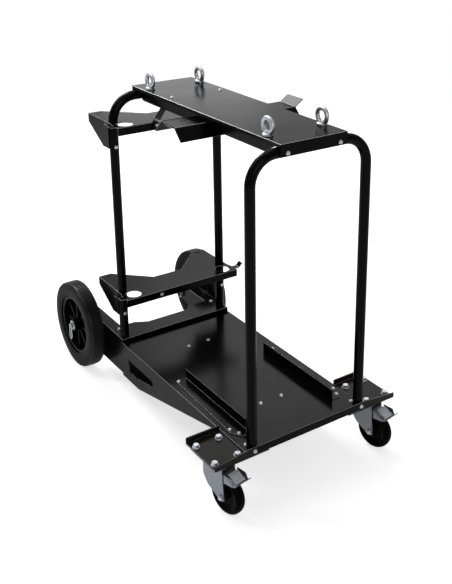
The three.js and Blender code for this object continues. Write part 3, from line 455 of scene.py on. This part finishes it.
# rear wheels: ribbed solid tyre, grey bead on the rim, black spoked hub
tyre = {
    "ribs": 5, "grooveWidth": 3.0, "grooveDepth": 2.4, "grooveFloor": 0.6,  # floor as a share of width
    "ribEdge": 0.6, "ribDrop": 0.5, "shoulder": 7, "play": 0.3, "sides": 96, "smooth": 32,
    "wall": ((0, 0.78), (4, 0.95), (10, 1)),  # mm out from the rim, share of the half width
    "round": ((1.3, 0), (0.45, 0.12), (0.12, 0.6))}  # shares of the shoulder, from tread and from side
hub = {
    "rimFace": 0.75, "rimWaist": 0.3, "rimWall": 9, "rimEdge": 2, "rimSmooth": 35,
    "bead": 1.2, "beadSides": 10, "beadSmooth": 60, "boss": 19, "bossEdge": 2, "bore": 8.3,
    "spokes": 8, "spokeWidth": 6, "spokeDepth": 16, "spokeSmooth": 30, "sides": 80}


def treadProfile(radius, half, rim):
    groove, depth = tyre["grooveWidth"] * mm / 2, tyre["grooveDepth"] * mm
    shoulder, floor = tyre["shoulder"] * mm, groove * tyre["grooveFloor"]
    edge, drop = tyre["ribEdge"] * mm, tyre["ribDrop"] * mm
    wall = [(rim + out * mm, -half * share) for out, share in tyre["wall"]]
    wall += [(radius - shoulder * down, shoulder * aside - half) for down, aside in tyre["round"]]
    flat = -wall[-1][1]
    step = 2 * flat / tyre["ribs"]
    ribs = []
    for i in range(1, tyre["ribs"]):
        x = i * step - flat
        ribs += [
            (radius, x - groove - edge), (radius - drop, x - groove), (radius - depth, x - floor),
            (radius - depth, x + floor), (radius - drop, x + groove), (radius, x + groove + edge)]
    return wall + ribs + [(r, -x) for r, x in reversed(wall)]


# straight bars spread round the wheel's axis
def spokeTree():
    tree = bpy.data.node_groups.new("hubSpokes", "GeometryNodeTree")
    face = tree.interface
    for label, kind in (
            ("Count", "NodeSocketInt"), ("Inner", "NodeSocketFloat"), ("Outer", "NodeSocketFloat"),
            ("Width", "NodeSocketFloat"), ("Depth", "NodeSocketFloat"), ("Place", "NodeSocketVector"),
            ("Finish", "NodeSocketMaterial")):
        face.new_socket(label, in_out="INPUT", socket_type=kind)
    face.new_socket("Geometry", in_out="OUTPUT", socket_type="NodeSocketGeometry")
    given = addNode(tree, "NodeGroupInput").outputs
    length = addNode(tree, "ShaderNodeMath", {0: given["Outer"], 1: given["Inner"]}, operation="SUBTRACT")
    middle = addNode(tree, "ShaderNodeMath", {0: given["Outer"], 1: given["Inner"]}, operation="ADD")
    half = addNode(tree, "ShaderNodeMath", {0: middle.outputs[0], 1: 0.5}, operation="MULTIPLY")
    size = addNode(tree, "ShaderNodeCombineXYZ", {
        "X": given["Depth"], "Y": given["Width"], "Z": length.outputs[0]})
    bar = addNode(tree, "GeometryNodeMeshCube", {"Size": size.outputs[0]})
    lift = addNode(tree, "ShaderNodeCombineXYZ", {"Z": half.outputs[0]})
    lifted = addNode(tree, "GeometryNodeTransform", {
        "Geometry": bar.outputs["Mesh"], "Translation": lift.outputs[0]})
    points = addNode(tree, "GeometryNodePoints", {"Count": given["Count"]})
    index = addNode(tree, "GeometryNodeInputIndex")
    turn = addNode(tree, "ShaderNodeMath", {0: 2 * math.pi, 1: given["Count"]}, operation="DIVIDE")
    angle = addNode(tree, "ShaderNodeMath", {0: index.outputs[0], 1: turn.outputs[0]}, operation="MULTIPLY")
    spin = addNode(tree, "ShaderNodeCombineXYZ", {"X": angle.outputs[0]})
    spread = addNode(tree, "GeometryNodeInstanceOnPoints", {
        "Points": points.outputs[0], "Instance": lifted.outputs[0], "Rotation": spin.outputs[0]})
    solid = addNode(tree, "GeometryNodeRealizeInstances", {"Geometry": spread.outputs[0]})
    placed = addNode(tree, "GeometryNodeTransform", {
        "Geometry": solid.outputs[0], "Translation": given["Place"]})
    dressed = addNode(tree, "GeometryNodeSetMaterial", {
        "Geometry": placed.outputs[0], "Material": given["Finish"]})
    addNode(tree, "NodeGroupOutput", {"Geometry": dressed.outputs[0]})
    return tree


# runs a tree on a mesh of points and keeps the result as a plain mesh
def meshFromTree(tree, inputs, points=(), directions=()):
    mesh = bpy.data.meshes.new(tree.name)
    mesh.from_pydata([tuple(p) for p in points], [], [])
    if directions:
        field = mesh.attributes.new("direction", "FLOAT_VECTOR", "POINT")
        for i, d in enumerate(directions):
            field.data[i].vector = d
    holder = bpy.data.objects.new(tree.name + "Holder", mesh)
    modifier = holder.modifiers.new("build", "NODES")
    modifier.node_group = tree
    for item in tree.interface.items_tree:
        if item.item_type == "SOCKET" and item.in_out == "INPUT" and item.name in inputs:
            modifier[item.identifier] = inputs[item.name]
    scene.collection.objects.link(holder)
    graph = bpy.context.evaluated_depsgraph_get()
    done = bpy.data.meshes.new_from_object(holder.evaluated_get(graph))
    holder.modifiers.clear()
    bpy.data.objects.remove(holder)
    return done


spokes = spokeTree()
for side in ("left", "right"):
    node = side + "_rear_tyre"
    hubNode = side + "_rear_hub"
    low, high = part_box(node)
    hubLow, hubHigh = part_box(hubNode)
    centre = (Vector(low) + Vector(high)) / 2
    radius, half = (high[2] - low[2]) / 2, (high[0] - low[0]) / 2
    rimRadius, hubHalf = (hubHigh[2] - hubLow[2]) / 2, (hubHigh[0] - hubLow[0]) / 2
    profile = treadProfile(radius, half, rimRadius + tyre["play"] * mm)
    shape = bmesh.new()
    turnProfile(shape, profile, centre, acrossCart, tyre["sides"])
    mesh = meshFrom(shape, node)
    mesh.materials.append(finishes["rubber"])
    mesh.materials.append(treadSheenPainted)
    # tread faces all round take the lighter rubber, a painted sheen
    for face in mesh.polygons:
        away = face.center - centre
        away.x = 0
        face.material_index = 1 if away.length > radius - tyre["shoulder"] * mm / 2 else 0
    addPiece("ribbed_" + node, mesh, None, node, tyre["smooth"], (node,))

    node = hubNode
    rimFace, waist = half * hub["rimFace"], half * hub["rimWaist"]
    edge, inner = hub["rimEdge"] * mm, rimRadius - hub["rimWall"] * mm
    boss, bossEdge, bore = hub["boss"] * mm, hub["bossEdge"] * mm, hub["bore"] * mm
    shape = bmesh.new()
    turnProfile(shape, [
        (rimRadius - edge, -rimFace), (rimRadius, edge - rimFace), (rimRadius, rimFace - edge),
        (rimRadius - edge, rimFace), (inner + edge, rimFace), (inner, waist), (inner, -waist),
        (inner + edge, -rimFace)], centre, acrossCart, hub["sides"])
    turnProfile(shape, [
        (bore, -hubHalf), (boss - bossEdge, -hubHalf), (boss, bossEdge - hubHalf),
        (boss, hubHalf - bossEdge), (boss - bossEdge, hubHalf), (bore, hubHalf)],
        centre, acrossCart, hub["sides"])
    addPiece("rim_" + node, meshFrom(shape, node), finishes["hub_plastic"], node, hub["rimSmooth"], (node,))
    bars = meshFromTree(spokes, {
        "Count": hub["spokes"], "Inner": boss - bossEdge, "Outer": inner + edge,
        "Width": hub["spokeWidth"] * mm, "Depth": hub["spokeDepth"] * mm,
        "Place": tuple(centre), "Finish": finishes["hub_plastic"]})
    addPiece("spokes_" + node, bars, finishes["hub_plastic"], node, hub["spokeSmooth"])
    bead = hub["bead"] * mm
    shape = bmesh.new()
    for end in (-1, 1):
        turnProfile(shape, [
            (rimRadius - edge + bead * math.cos(t), end * rimFace + bead * math.sin(t))
            for t in fullTurn(hub["beadSides"])], centre, acrossCart, hub["sides"])
    addPiece("lip_" + node, meshFrom(shape, node), rimGrey, node, hub["beadSmooth"])
print("rear wheels ready")


# stub axles with hex head and collar, washers, spring clips
axle = {
    "radius": 8, "edge": 1.5, "hexRadius": 12, "hexLength": 9, "collar": 14, "collarLength": 9.9,
    "play": 0.3, "bore": 8.3, "washer": 14, "washerEdge": 0.6, "sides": 36, "smooth": 30}
clip = {
    "rise": 16, "drop": 46, "round": 8.5, "turn": 6, "bulge": 13.6, "waist": 12.8, "end": 12.2,
    "sides": 14, "steps": 8, "smooth": 60}


# smooth line through corner points
def smoothLine(corners, steps):
    line = []
    for i in range(len(corners) - 1):
        p0, p1 = Vector(corners[max(i - 1, 0)]), Vector(corners[i])
        p2, p3 = Vector(corners[i + 1]), Vector(corners[min(i + 2, len(corners) - 1)])
        for t in (k / steps for k in range(steps)):
            line.append(0.5 * (2 * p1 + (p2 - p0) * t + (2 * p0 - 5 * p1 + 4 * p2 - p3) * t ** 2
                               + (3 * p1 - p0 - 3 * p2 + p3) * t ** 3))
    return line + [Vector(corners[-1])]


for side, way in (("left", -1), ("right", 1)):
    node = side + "_stub_axle"
    low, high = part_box(node)
    centre = Vector((0, middleOf(node, 1), middleOf(node, 2)))
    inner, outer = (low[0], high[0]) if way > 0 else (high[0], low[0])
    hubLow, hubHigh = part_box(side + "_rear_hub")
    seat = (hubLow[0] if way > 0 else hubHigh[0]) - way * axle["play"] * mm
    radius, edge = axle["radius"] * mm, axle["edge"] * mm
    hexRadius, hexEnd = axle["hexRadius"] * mm, inner + way * axle["hexLength"] * mm
    collar, collarStart = axle["collar"] * mm, seat - way * axle["collarLength"] * mm
    shape = bmesh.new()
    turnProfile(shape, [
        (onAxis, inner), (radius, inner), (radius, outer - way * edge), (radius - edge, outer),
        (onAxis, outer)], centre, acrossCart, axle["sides"])
    turnProfile(shape, [
        (onAxis, inner), (hexRadius - edge, inner), (hexRadius, inner + way * edge), (hexRadius, hexEnd),
        (onAxis, hexEnd)], centre, acrossCart, hexagon)
    turnProfile(shape, [
        (onAxis, collarStart), (collar, collarStart), (collar, seat), (onAxis, seat)],
        centre, acrossCart, axle["sides"])
    addPiece("turned_" + node, meshFrom(shape, node), dullZinc, node, axle["smooth"], (node,))

    node = side + "_axle_washer"
    low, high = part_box(node)
    bore, rim, edge = axle["bore"] * mm, axle["washer"] * mm, axle["washerEdge"] * mm
    shape = bmesh.new()
    turnProfile(shape, [
        (bore, low[0]), (rim - edge, low[0]), (rim, low[0] + edge), (rim, high[0] - edge),
        (rim - edge, high[0]), (bore, high[0])], centre, acrossCart, axle["sides"])
    addPiece("turned_" + node, meshFrom(shape, node), finishes["bright_zinc"], node, axle["smooth"], (node,))

    node = side + "_spring_clip"
    low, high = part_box(node)
    drop, loop = clip["drop"], clip["drop"] - clip["round"]
    corners = [
        (0, clip["rise"]), (0, -drop / 2), (0, -loop), (clip["turn"], -drop), (clip["bulge"], -loop),
        (clip["waist"], -drop / 2), (clip["end"], 0)]
    path = [
        centre + Vector((middleOf(node, 0), p[0] * mm, p[1] * mm))
        for p in smoothLine(corners, clip["steps"])]
    shape = bmesh.new()
    sweepTube(shape, path, (high[0] - low[0]) / 2, clip["sides"])
    addPiece("bent_" + node, meshFrom(shape, node), finishes["bright_zinc"], node, clip["smooth"], (node,))
print("axles ready")


# caster wheels: rounded rubber tread on a black core, dome nuts on the axle
caster = {
    "half": 13, "core": 34, "coreEdge": 2, "sidewall": 3, "shoulder": 8, "crown": 8, "sides": 72,
    "bore": 4.3, "nose": 8, "noseEnd": 17, "noseEdge": 1, "flare": 12.8, "web": 7.5, "rimWall": 4,
    "rimStep": 1, "play": 0.3, "tyreSmooth": 40, "coreSmooth": 30}
nut = {
    "pin": 4, "start": 21.3, "end": 26.3, "hex": 7.5, "edge": 0.9, "dome": 5.6, "domeRise": 3, "steps": 6,
    "smooth": 25}


# a profile of (radius, along) followed by its mirror image
def bothEnds(profile):
    return profile + [(r, -x) for r, x in reversed(profile)]


for side in ("left", "right"):
    spin = joints[side + "_caster_wheel_spin"]
    axis, centre = Vector(spin["axis"]), Vector(spin["pos_m"])
    node = side + "_caster_tyre"
    low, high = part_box(node)
    radius, half, core = (high[2] - low[2]) / 2, caster["half"] * mm, caster["core"] * mm
    shoulder, edge = caster["shoulder"] * mm, caster["coreEdge"] * mm
    turns = [math.pi / 2 * (k / caster["crown"] - 1) for k in range(caster["crown"])]
    wall = [(core, edge - half), (core + caster["sidewall"] * mm, -half)]
    crown = [(radius - shoulder * (1 - math.cos(t)), half * math.sin(t)) for t in turns]
    shape = bmesh.new()
    turnProfile(shape, bothEnds(wall + crown), centre, axis, caster["sides"])
    addPiece("round_" + node, meshFrom(shape, node), finishes["rubber"], node, caster["tyreSmooth"], (node,))

    node = side + "_caster_hub"
    bore, nose, noseEnd = caster["bore"] * mm, caster["nose"] * mm, caster["noseEnd"] * mm
    noseEdge, rimStep = caster["noseEdge"] * mm, caster["rimStep"] * mm
    web, rim, outer = caster["web"] * mm, core - caster["rimWall"] * mm, core - caster["play"] * mm
    shape = bmesh.new()
    turnProfile(shape, bothEnds([
        (bore, -noseEnd), (nose, -noseEnd), (nose + noseEdge, noseEdge - noseEnd),
        (caster["flare"] * mm, -web), (rim - edge, -web), (rim, edge - half + rimStep),
        (outer, edge - half)]), centre, axis, caster["sides"])
    addPiece(
        "core_" + node, meshFrom(shape, node), finishes["hub_plastic"], node, caster["coreSmooth"], (node,))

    node = side + "_caster_axle"
    start, end, hexRadius, edge = nut["start"] * mm, nut["end"] * mm, nut["hex"] * mm, nut["edge"] * mm
    turns = [math.pi / 2 * k / nut["steps"] for k in range(nut["steps"] + 1)]
    dome = [
        (max(nut["dome"] * mm * math.cos(t), onAxis), end + nut["domeRise"] * mm * math.sin(t))
        for t in turns]
    shape = bmesh.new()
    turnProfile(shape, [
        (onAxis, -end), (nut["pin"] * mm, -end), (nut["pin"] * mm, end), (onAxis, end)],
        centre, axis, caster["sides"])
    for way in (-1, 1):
        turnProfile(shape, [
            (onAxis, way * start), (hexRadius, way * start), (hexRadius, way * (end - edge)),
            (hexRadius - edge, way * end), (onAxis, way * end)], centre, axis, hexagon)
        turnProfile(
            shape, [(onAxis, way * (end - edge))] + [(r, way * x) for r, x in dome],
            centre, axis, caster["sides"])
    addPiece("hex_" + node, meshFrom(shape, node), finishes["bright_zinc"], node, nut["smooth"], (node,))
print("caster wheels ready")


# brake pedals: ridged foot plate pressed up between the side walls
foot = {
    "front": 82, "rear": 55, "low": -8.2, "high": 5.5, "half": 15, "thick": 2.5, "smooth": 50,
    "ridges": 3, "ridgeRise": 1.4, "ridgeWide": 3.2, "trail": 38, "underPivot": 1.25,
    "ridge": ((-0.5, 0), (-0.25, 1), (0.25, 1), (0.5, 0))}  # shares of a ridge's width and rise


# closed outline of (forward, up), its upper side raised into ridges
def footOutline():
    start, end = Vector((foot["front"], foot["low"])), Vector((foot["rear"], foot["high"]))
    along = (end - start).normalized()
    up = Vector((along.y, -along.x))
    length = (end - start).length
    upper = [start]
    for k in range(foot["ridges"]):
        middle = length * (k + 1) / (foot["ridges"] + 1)
        for shift, rise in foot["ridge"]:
            upper.append(
                start + along * (middle + shift * foot["ridgeWide"]) + up * rise * foot["ridgeRise"])
    upper.append(end)
    return upper + [end - up * foot["thick"], start - up * foot["thick"]]


for side in ("left", "right"):
    node = side + "_brake_pedal"
    spin = joints[side + "_caster_wheel_spin"]
    across = Vector(spin["axis"])
    forward = across.cross(Vector(upwards))
    if forward.y > 0:
        forward.negate()
    origin = Vector(spin["pos_m"]) - forward * foot["trail"] * mm
    origin.z = joints[node + "_press"]["pos_m"][2] - foot["underPivot"] * mm
    shape = bmesh.new()
    skinRings(shape, [[
        origin + across * way * foot["half"] * mm + forward * p.x * mm + Vector((0, 0, p.y * mm))
        for p in footOutline()] for way in (-1, 1)])
    # the foot plate takes the paler zinc, painted light
    addPiece("foot_" + node, meshFrom(shape, node), pedalZincPaintedLit, node, foot["smooth"])
print("pedals ready")


# sides of the round parts of a fastener, and how far each part narrows upwards
fastener = {"flangeSides": 32, "buttonSides": 28, "flangeTop": 0.9, "chamferTop": 0.82, "buttonTop": 0.62}


# a head on a flange at every point: hexagonal with a chamfer, or a button with a hex socket
def fastenerTree(name, hexHead):
    tree = bpy.data.node_groups.new(name, "GeometryNodeTree")
    face = tree.interface
    face.new_socket("Points", in_out="INPUT", socket_type="NodeSocketGeometry")
    detail = "Chamfer Height" if hexHead else "Socket Radius"
    for label in ("Flange Radius", "Flange Height", "Head Radius", "Head Height", detail):
        face.new_socket(label, in_out="INPUT", socket_type="NodeSocketFloat")
    face.new_socket("Finish", in_out="INPUT", socket_type="NodeSocketMaterial")
    face.new_socket("Geometry", in_out="OUTPUT", socket_type="NodeSocketGeometry")
    given = addNode(tree, "NodeGroupInput").outputs
    flangeTop = addNode(tree, "ShaderNodeMath", {
        0: given["Flange Radius"], 1: fastener["flangeTop"]}, operation="MULTIPLY")
    flange = addNode(tree, "GeometryNodeMeshCone", {
        "Vertices": fastener["flangeSides"], "Radius Bottom": given["Flange Radius"],
        "Radius Top": flangeTop.outputs[0], "Depth": given["Flange Height"]})
    onFlange = addNode(tree, "ShaderNodeCombineXYZ", {"Z": given["Flange Height"]})
    headTop = addNode(tree, "ShaderNodeCombineXYZ", {"Z": given["Head Height"]})
    narrow = addNode(tree, "ShaderNodeMath", {
        0: given["Head Radius"], 1: fastener["chamferTop" if hexHead else "buttonTop"]},
        operation="MULTIPLY")
    if hexHead:
        body = addNode(tree, "GeometryNodeMeshCone", {
            "Vertices": hexagon, "Radius Bottom": given["Head Radius"], "Radius Top": given["Head Radius"],
            "Depth": given["Head Height"]})
        chamfer = addNode(tree, "GeometryNodeMeshCone", {
            "Vertices": hexagon, "Radius Bottom": given["Head Radius"], "Radius Top": narrow.outputs[0],
            "Depth": given[detail]})
        crown = addNode(tree, "GeometryNodeTransform", {
            "Geometry": chamfer.outputs["Mesh"], "Translation": headTop.outputs[0]})
        shaped = addNode(tree, "GeometryNodeJoinGeometry")
        tree.links.new(body.outputs["Mesh"], shaped.inputs[0])
        tree.links.new(crown.outputs[0], shaped.inputs[0])
    else:
        button = addNode(tree, "GeometryNodeMeshCone", {
            "Vertices": fastener["buttonSides"], "Radius Bottom": given["Head Radius"],
            "Radius Top": narrow.outputs[0], "Depth": given["Head Height"]})
        cutter = addNode(tree, "GeometryNodeMeshCylinder", {
            "Vertices": hexagon, "Radius": given[detail], "Depth": given["Head Height"]})
        raised = addNode(tree, "GeometryNodeTransform", {
            "Geometry": cutter.outputs["Mesh"], "Translation": headTop.outputs[0]})
        shaped = addNode(tree, "GeometryNodeMeshBoolean", {
            "Mesh 1": button.outputs["Mesh"], "Mesh 2": raised.outputs[0]}, operation="DIFFERENCE")
    head = addNode(tree, "GeometryNodeTransform", {
        "Geometry": shaped.outputs[0], "Translation": onFlange.outputs[0]})
    whole = addNode(tree, "GeometryNodeJoinGeometry")
    tree.links.new(flange.outputs["Mesh"], whole.inputs[0])
    tree.links.new(head.outputs[0], whole.inputs[0])
    direction = addNode(
        tree, "GeometryNodeInputNamedAttribute", {"Name": "direction"}, data_type="FLOAT_VECTOR")
    turned = addNode(tree, "FunctionNodeAlignRotationToVector", {"Vector": direction.outputs[0]}, axis="Z")
    spread = addNode(tree, "GeometryNodeInstanceOnPoints", {
        "Points": given["Points"], "Instance": whole.outputs[0], "Rotation": turned.outputs[0]})
    solid = addNode(tree, "GeometryNodeRealizeInstances", {"Geometry": spread.outputs[0]})
    dressed = addNode(tree, "GeometryNodeSetMaterial", {
        "Geometry": solid.outputs[0], "Material": given["Finish"]})
    addNode(tree, "NodeGroupOutput", {"Geometry": dressed.outputs[0]})
    return tree


bolt = {
    "flangeRadius": 9.5, "flangeHeight": 2, "headRadius": 8.1, "headHeight": 4.9, "chamfer": 1.1,
    "smooth": 25}
boltNodes = [n for n in cadNodes if "caster_bolt" in n]
boltLength = (bolt["flangeHeight"] + bolt["headHeight"] + bolt["chamfer"]) * mm
boltPoints = [
    Vector((middleOf(n, 0), middleOf(n, 1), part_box(n)[1][2] - boltLength)) for n in boltNodes]
boltMesh = meshFromTree(fastenerTree("flangeBolt", True), {
    "Flange Radius": bolt["flangeRadius"] * mm, "Flange Height": bolt["flangeHeight"] * mm,
    "Head Radius": bolt["headRadius"] * mm, "Head Height": bolt["headHeight"] * mm,
    "Chamfer Height": bolt["chamfer"] * mm, "Finish": finishes["bright_zinc"]},
    boltPoints, [upwards] * len(boltPoints))
addPiece(
    "caster_bolt_heads", boltMesh, finishes["bright_zinc"], boltNodes[0], bolt["smooth"], boltNodes)

screw = {
    "flangeRadius": 5.4, "flangeHeight": 0.8, "headRadius": 5.1, "headHeight": 2.4, "socket": 1.6,
    "smooth": 30}
screwNodes = [n for n in cadNodes if n.endswith("_screw")]
screwLength = (screw["flangeHeight"] + screw["headHeight"]) * mm
screwPoints, screwDirections = [], []
for node in screwNodes:
    low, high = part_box(node)
    toFront = "rear_top" not in node
    y = low[1] + screwLength if toFront else high[1] - screwLength
    screwPoints.append(Vector((middleOf(node, 0), y, middleOf(node, 2))))
    screwDirections.append(forwards if toFront else backwards)

# small screws without a CAD node, in mm: x to both sides, y from the legs of a hoop, on an upper face
loose = {
    "deckRear": {"x": 32, "hoop": "rear", "y": -140, "on": "deck"},
    "deckFront": {"x": 32, "hoop": "front", "y": 148, "on": "deck"},
    "deckCorner": {"x": 161, "hoop": "front", "y": 25, "on": "deck"},
    "railRear": {"x": 151.5, "hoop": "front", "y": 355, "on": "rail"},
    "railOuter": {"x": 160, "hoop": "front", "y": 95, "on": "rail"},
    "railInner": {"x": 150, "hoop": "front", "y": 70, "on": "rail"},
    "platform": {"x": 157, "hoop": "rear", "y": 46, "on": "platform"},
    "top": {"x": 72, "hoop": "rear", "y": -165, "on": "top"}}
railFootTop = 2.1  # above the deck
strutScrew = {"x": 68, "in": 4, "up": 66}  # through both strut ends, seen from the front
bracketScrew = {"x": -72, "up": 62}  # through the front flange of the lower bracket, left only
legY = {"front": middleOf("front_hoop", 1), "rear": middleOf("rear_hoop", 1)}
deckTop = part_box("front_hoop")[0][2]
upperFace = {
    "deck": deckTop, "rail": deckTop + railFootTop * mm,
    "platform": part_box("bottle_platform")[1][2], "top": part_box("top_plate")[1][2]}
for place in loose.values():
    for sign in (-1, 1):
        y = legY[place["hoop"]] + place["y"] * mm
        screwPoints.append(Vector((sign * place["x"] * mm, y, upperFace[place["on"]])))
        screwDirections.append(upwards)
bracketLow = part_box("upper_bottle_bracket")[0]
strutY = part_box("left_bracket_strut")[1][1] - strutScrew["in"] * mm
for sign in (-1, 1):
    screwPoints.append(Vector((sign * strutScrew["x"] * mm, strutY, bracketLow[2] + strutScrew["up"] * mm)))
    screwDirections.append(forwards)
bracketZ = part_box("lower_bottle_bracket")[0][2] + bracketScrew["up"] * mm
screwPoints.append(Vector((bracketScrew["x"] * mm, bracketLow[1], bracketZ)))
screwDirections.append(forwards)
screwMesh = meshFromTree(fastenerTree("buttonScrew", False), {
    "Flange Radius": screw["flangeRadius"] * mm, "Flange Height": screw["flangeHeight"] * mm,
    "Head Radius": screw["headRadius"] * mm, "Head Height": screw["headHeight"] * mm,
    "Socket Radius": screw["socket"] * mm, "Finish": finishes["bright_zinc"]},
    screwPoints, screwDirections)
addPiece("screw_heads", screwMesh, finishes["bright_zinc"], screwNodes[0], screw["smooth"], screwNodes)
print("fasteners ready:", len(boltPoints) + len(screwPoints))


# pale studio: white floor and backdrop, soft light
studio = {
    "white": "#ffffff", "floor": "#f2f2f2", "reach": 3.0, "ambient": 0.22,
    "glow": (0.68, 0.9), "glowFrom": 0.5, "glowTo": 1.7,  # weaker near the cart, so its shadow stays
    "mirrored": 0.4,  # share of the glow that reflections see
    "backdrop": (0.577, 0.816, 0.0), "room": 0.38, "sweepEdge": 0.4, "sweepFull": 0.95,
    # height of a mirrored direction and the room's strength there; the curve's two ends come first
    "bands": (
        (0.0, 1.0), (1.0, 1.0), (0.255, 1.0), (0.272, 0.02), (0.34, 0.02), (0.39, 0.6), (0.44, 1.0))}


# pale paper that also glows a little for the camera and for reflections, so its lit part is white
def studioMaterial(name):
    material, tree, where = newMaterial(name)
    path = addNode(tree, "ShaderNodeLightPath")
    bounced = addNode(tree, "ShaderNodeMath", {
        0: path.outputs["Is Glossy Ray"], 1: path.outputs["Is Transmission Ray"]}, operation="MAXIMUM")
    mirrored = addNode(tree, "ShaderNodeMath", {
        0: bounced.outputs[0], 1: studio["mirrored"]}, operation="MULTIPLY")
    seen = addNode(tree, "ShaderNodeMath", {
        0: path.outputs["Is Camera Ray"], 1: mirrored.outputs[0]}, operation="MAXIMUM")
    away = addNode(tree, "ShaderNodeVectorMath", {0: where}, operation="LENGTH")
    glow = addNode(tree, "ShaderNodeMapRange", {
        "Value": away.outputs["Value"], "From Min": studio["glowFrom"], "From Max": studio["glowTo"],
        "To Min": studio["glow"][0], "To Max": studio["glow"][1]}, interpolation_type="SMOOTHSTEP")
    glowing = addNode(tree, "ShaderNodeMath", {
        0: seen.outputs[0], 1: glow.outputs[0]}, operation="MULTIPLY")
    paper = addNode(tree, "ShaderNodeBsdfDiffuse", {"Color": linear(studio["floor"])})
    light = addNode(tree, "ShaderNodeEmission", {
        "Color": linear(studio["white"]), "Strength": glowing.outputs[0]})
    closeMaterial(tree, addNode(tree, "ShaderNodeAddShader", {0: paper.outputs[0], 1: light.outputs[0]}))
    return material


# white for the camera; reflections see a bright backdrop behind the cart in a dimmer room
def studioWorld(name):
    world = bpy.data.worlds.new(name)
    world.use_nodes = True
    tree = world.node_tree
    tree.nodes.clear()
    rays = addNode(tree, "ShaderNodeLightPath")
    where = addNode(tree, "ShaderNodeTexCoord")
    toBackdrop = addNode(tree, "ShaderNodeVectorMath", {
        0: where.outputs["Generated"], 1: studio["backdrop"]}, operation="DOT_PRODUCT")
    room = addNode(tree, "ShaderNodeMapRange", {
        "Value": toBackdrop.outputs["Value"], "From Min": studio["sweepEdge"],
        "From Max": studio["sweepFull"], "To Min": studio["room"], "To Max": 1.0},
        interpolation_type="SMOOTHSTEP")
    height = addNode(tree, "ShaderNodeSeparateXYZ", {0: where.outputs["Generated"]})
    bands = addNode(tree, "ShaderNodeFloatCurve", {"Value": height.outputs["Z"]})
    curve = bands.mapping.curves[0]
    for i, point in enumerate(studio["bands"]):
        if i < 2:
            curve.points[i].location = point
        else:
            curve.points.new(*point)
    for point in curve.points:
        point.handle_type = "VECTOR"
    bands.mapping.update()
    banded = addNode(tree, "ShaderNodeMath", {
        0: room.outputs[0], 1: bands.outputs[0]}, operation="MULTIPLY")
    mirrored = addNode(tree, "ShaderNodeMath", {
        0: rays.outputs["Is Glossy Ray"], 1: rays.outputs["Is Transmission Ray"]}, operation="MAXIMUM")
    lit = addNode(tree, "ShaderNodeMix", {
        "Factor": mirrored.outputs[0], "A": studio["ambient"], "B": banded.outputs[0]},
        data_type="FLOAT")
    strength = addNode(tree, "ShaderNodeMath", {
        0: lit.outputs["Result"], 1: rays.outputs["Is Camera Ray"]}, operation="MAXIMUM")
    sky = addNode(tree, "ShaderNodeBackground", {
        "Color": linear(studio["white"]), "Strength": strength.outputs[0]})
    addNode(tree, "ShaderNodeOutputWorld", {"Surface": sky.outputs[0]})
    return world


reach = studio["reach"]
floorMesh = bpy.data.meshes.new("floor")
floorMesh.from_pydata([
    (-reach, -reach, 0), (reach, -reach, 0), (reach, reach, 0), (-reach, reach, 0)], [], [(0, 1, 2, 3)])
floorMesh.materials.append(studioMaterial("paleFloor"))
floor = bpy.data.objects.new("floor", floorMesh)
scene.collection.objects.link(floor)
scene.world = studioWorld("studio")

# soft boxes, in metres and watts; a box without a height is square
lamps = {
    "topPanel": {"place": (3.4, 6.0, 2.25), "aim": (0, 0, 0.88), "size": 1.6, "height": 0.8, "power": 4.2},
    "deckPanel": {"place": (4.3, 6.0, 5.2), "aim": (0, -0.1, 0.15), "size": 2.7, "power": 30},
    "backBox": {"place": (0.1, 2.2, 2.5), "aim": (0, 0, 0.6), "size": 0.85, "power": 36},
    "overhead": {"place": (0.1, 0.2, 3.2), "aim": (0, 0, 0.4), "size": 1.4, "power": 12},
    "leftStrip": {
        "place": (-1.5, 1.3, 3.0), "aim": (-0.2, -0.3, 0.85), "size": 0.35, "height": 1.8, "power": 16},
    "frontFill": {"place": (-0.6, -3.2, 1.8), "aim": (0, 0, 0.4), "size": 1.6, "power": 15}}
for name, lamp in lamps.items():
    data = bpy.data.lights.new(name, "AREA")
    data.shape = "RECTANGLE"
    data.size, data.size_y = lamp["size"], lamp.get("height", lamp["size"])
    data.energy = lamp["power"]
    light = bpy.data.objects.new(name, data)
    light.location = lamp["place"]
    light.visible_camera = False
    light.rotation_mode = "QUATERNION"
    light.rotation_quaternion = (Vector(lamp["aim"]) - Vector(lamp["place"])).to_track_quat("-Z", "Y")
    scene.collection.objects.link(light)

# the photo's point of view; metres, degrees, lens and sensor in mm
view = {
    "place": (-1.175, -1.972, 1.434), "azimuth": -35.25, "elevation": 18.56, "lens": 56.43, "sensor": 36,
    "shift": (-0.0743, -0.2)}
cameraData = bpy.data.cameras.new("photoView")
cameraData.sensor_width = view["sensor"]
cameraData.lens = view["lens"]
cameraData.shift_x, cameraData.shift_y = view["shift"]
camera = bpy.data.objects.new("photoView", cameraData)
a, e = math.radians(view["azimuth"]), math.radians(view["elevation"])
back = Vector((math.sin(a) * math.cos(e), -math.cos(a) * math.cos(e), math.sin(e)))
camera.location = view["place"]
camera.rotation_mode = "QUATERNION"
camera.rotation_quaternion = (-back).to_track_quat("-Z", "Y")
scene.collection.objects.link(camera)
scene.camera = camera
scene.view_settings.view_transform = "Standard"
print("studio ready")
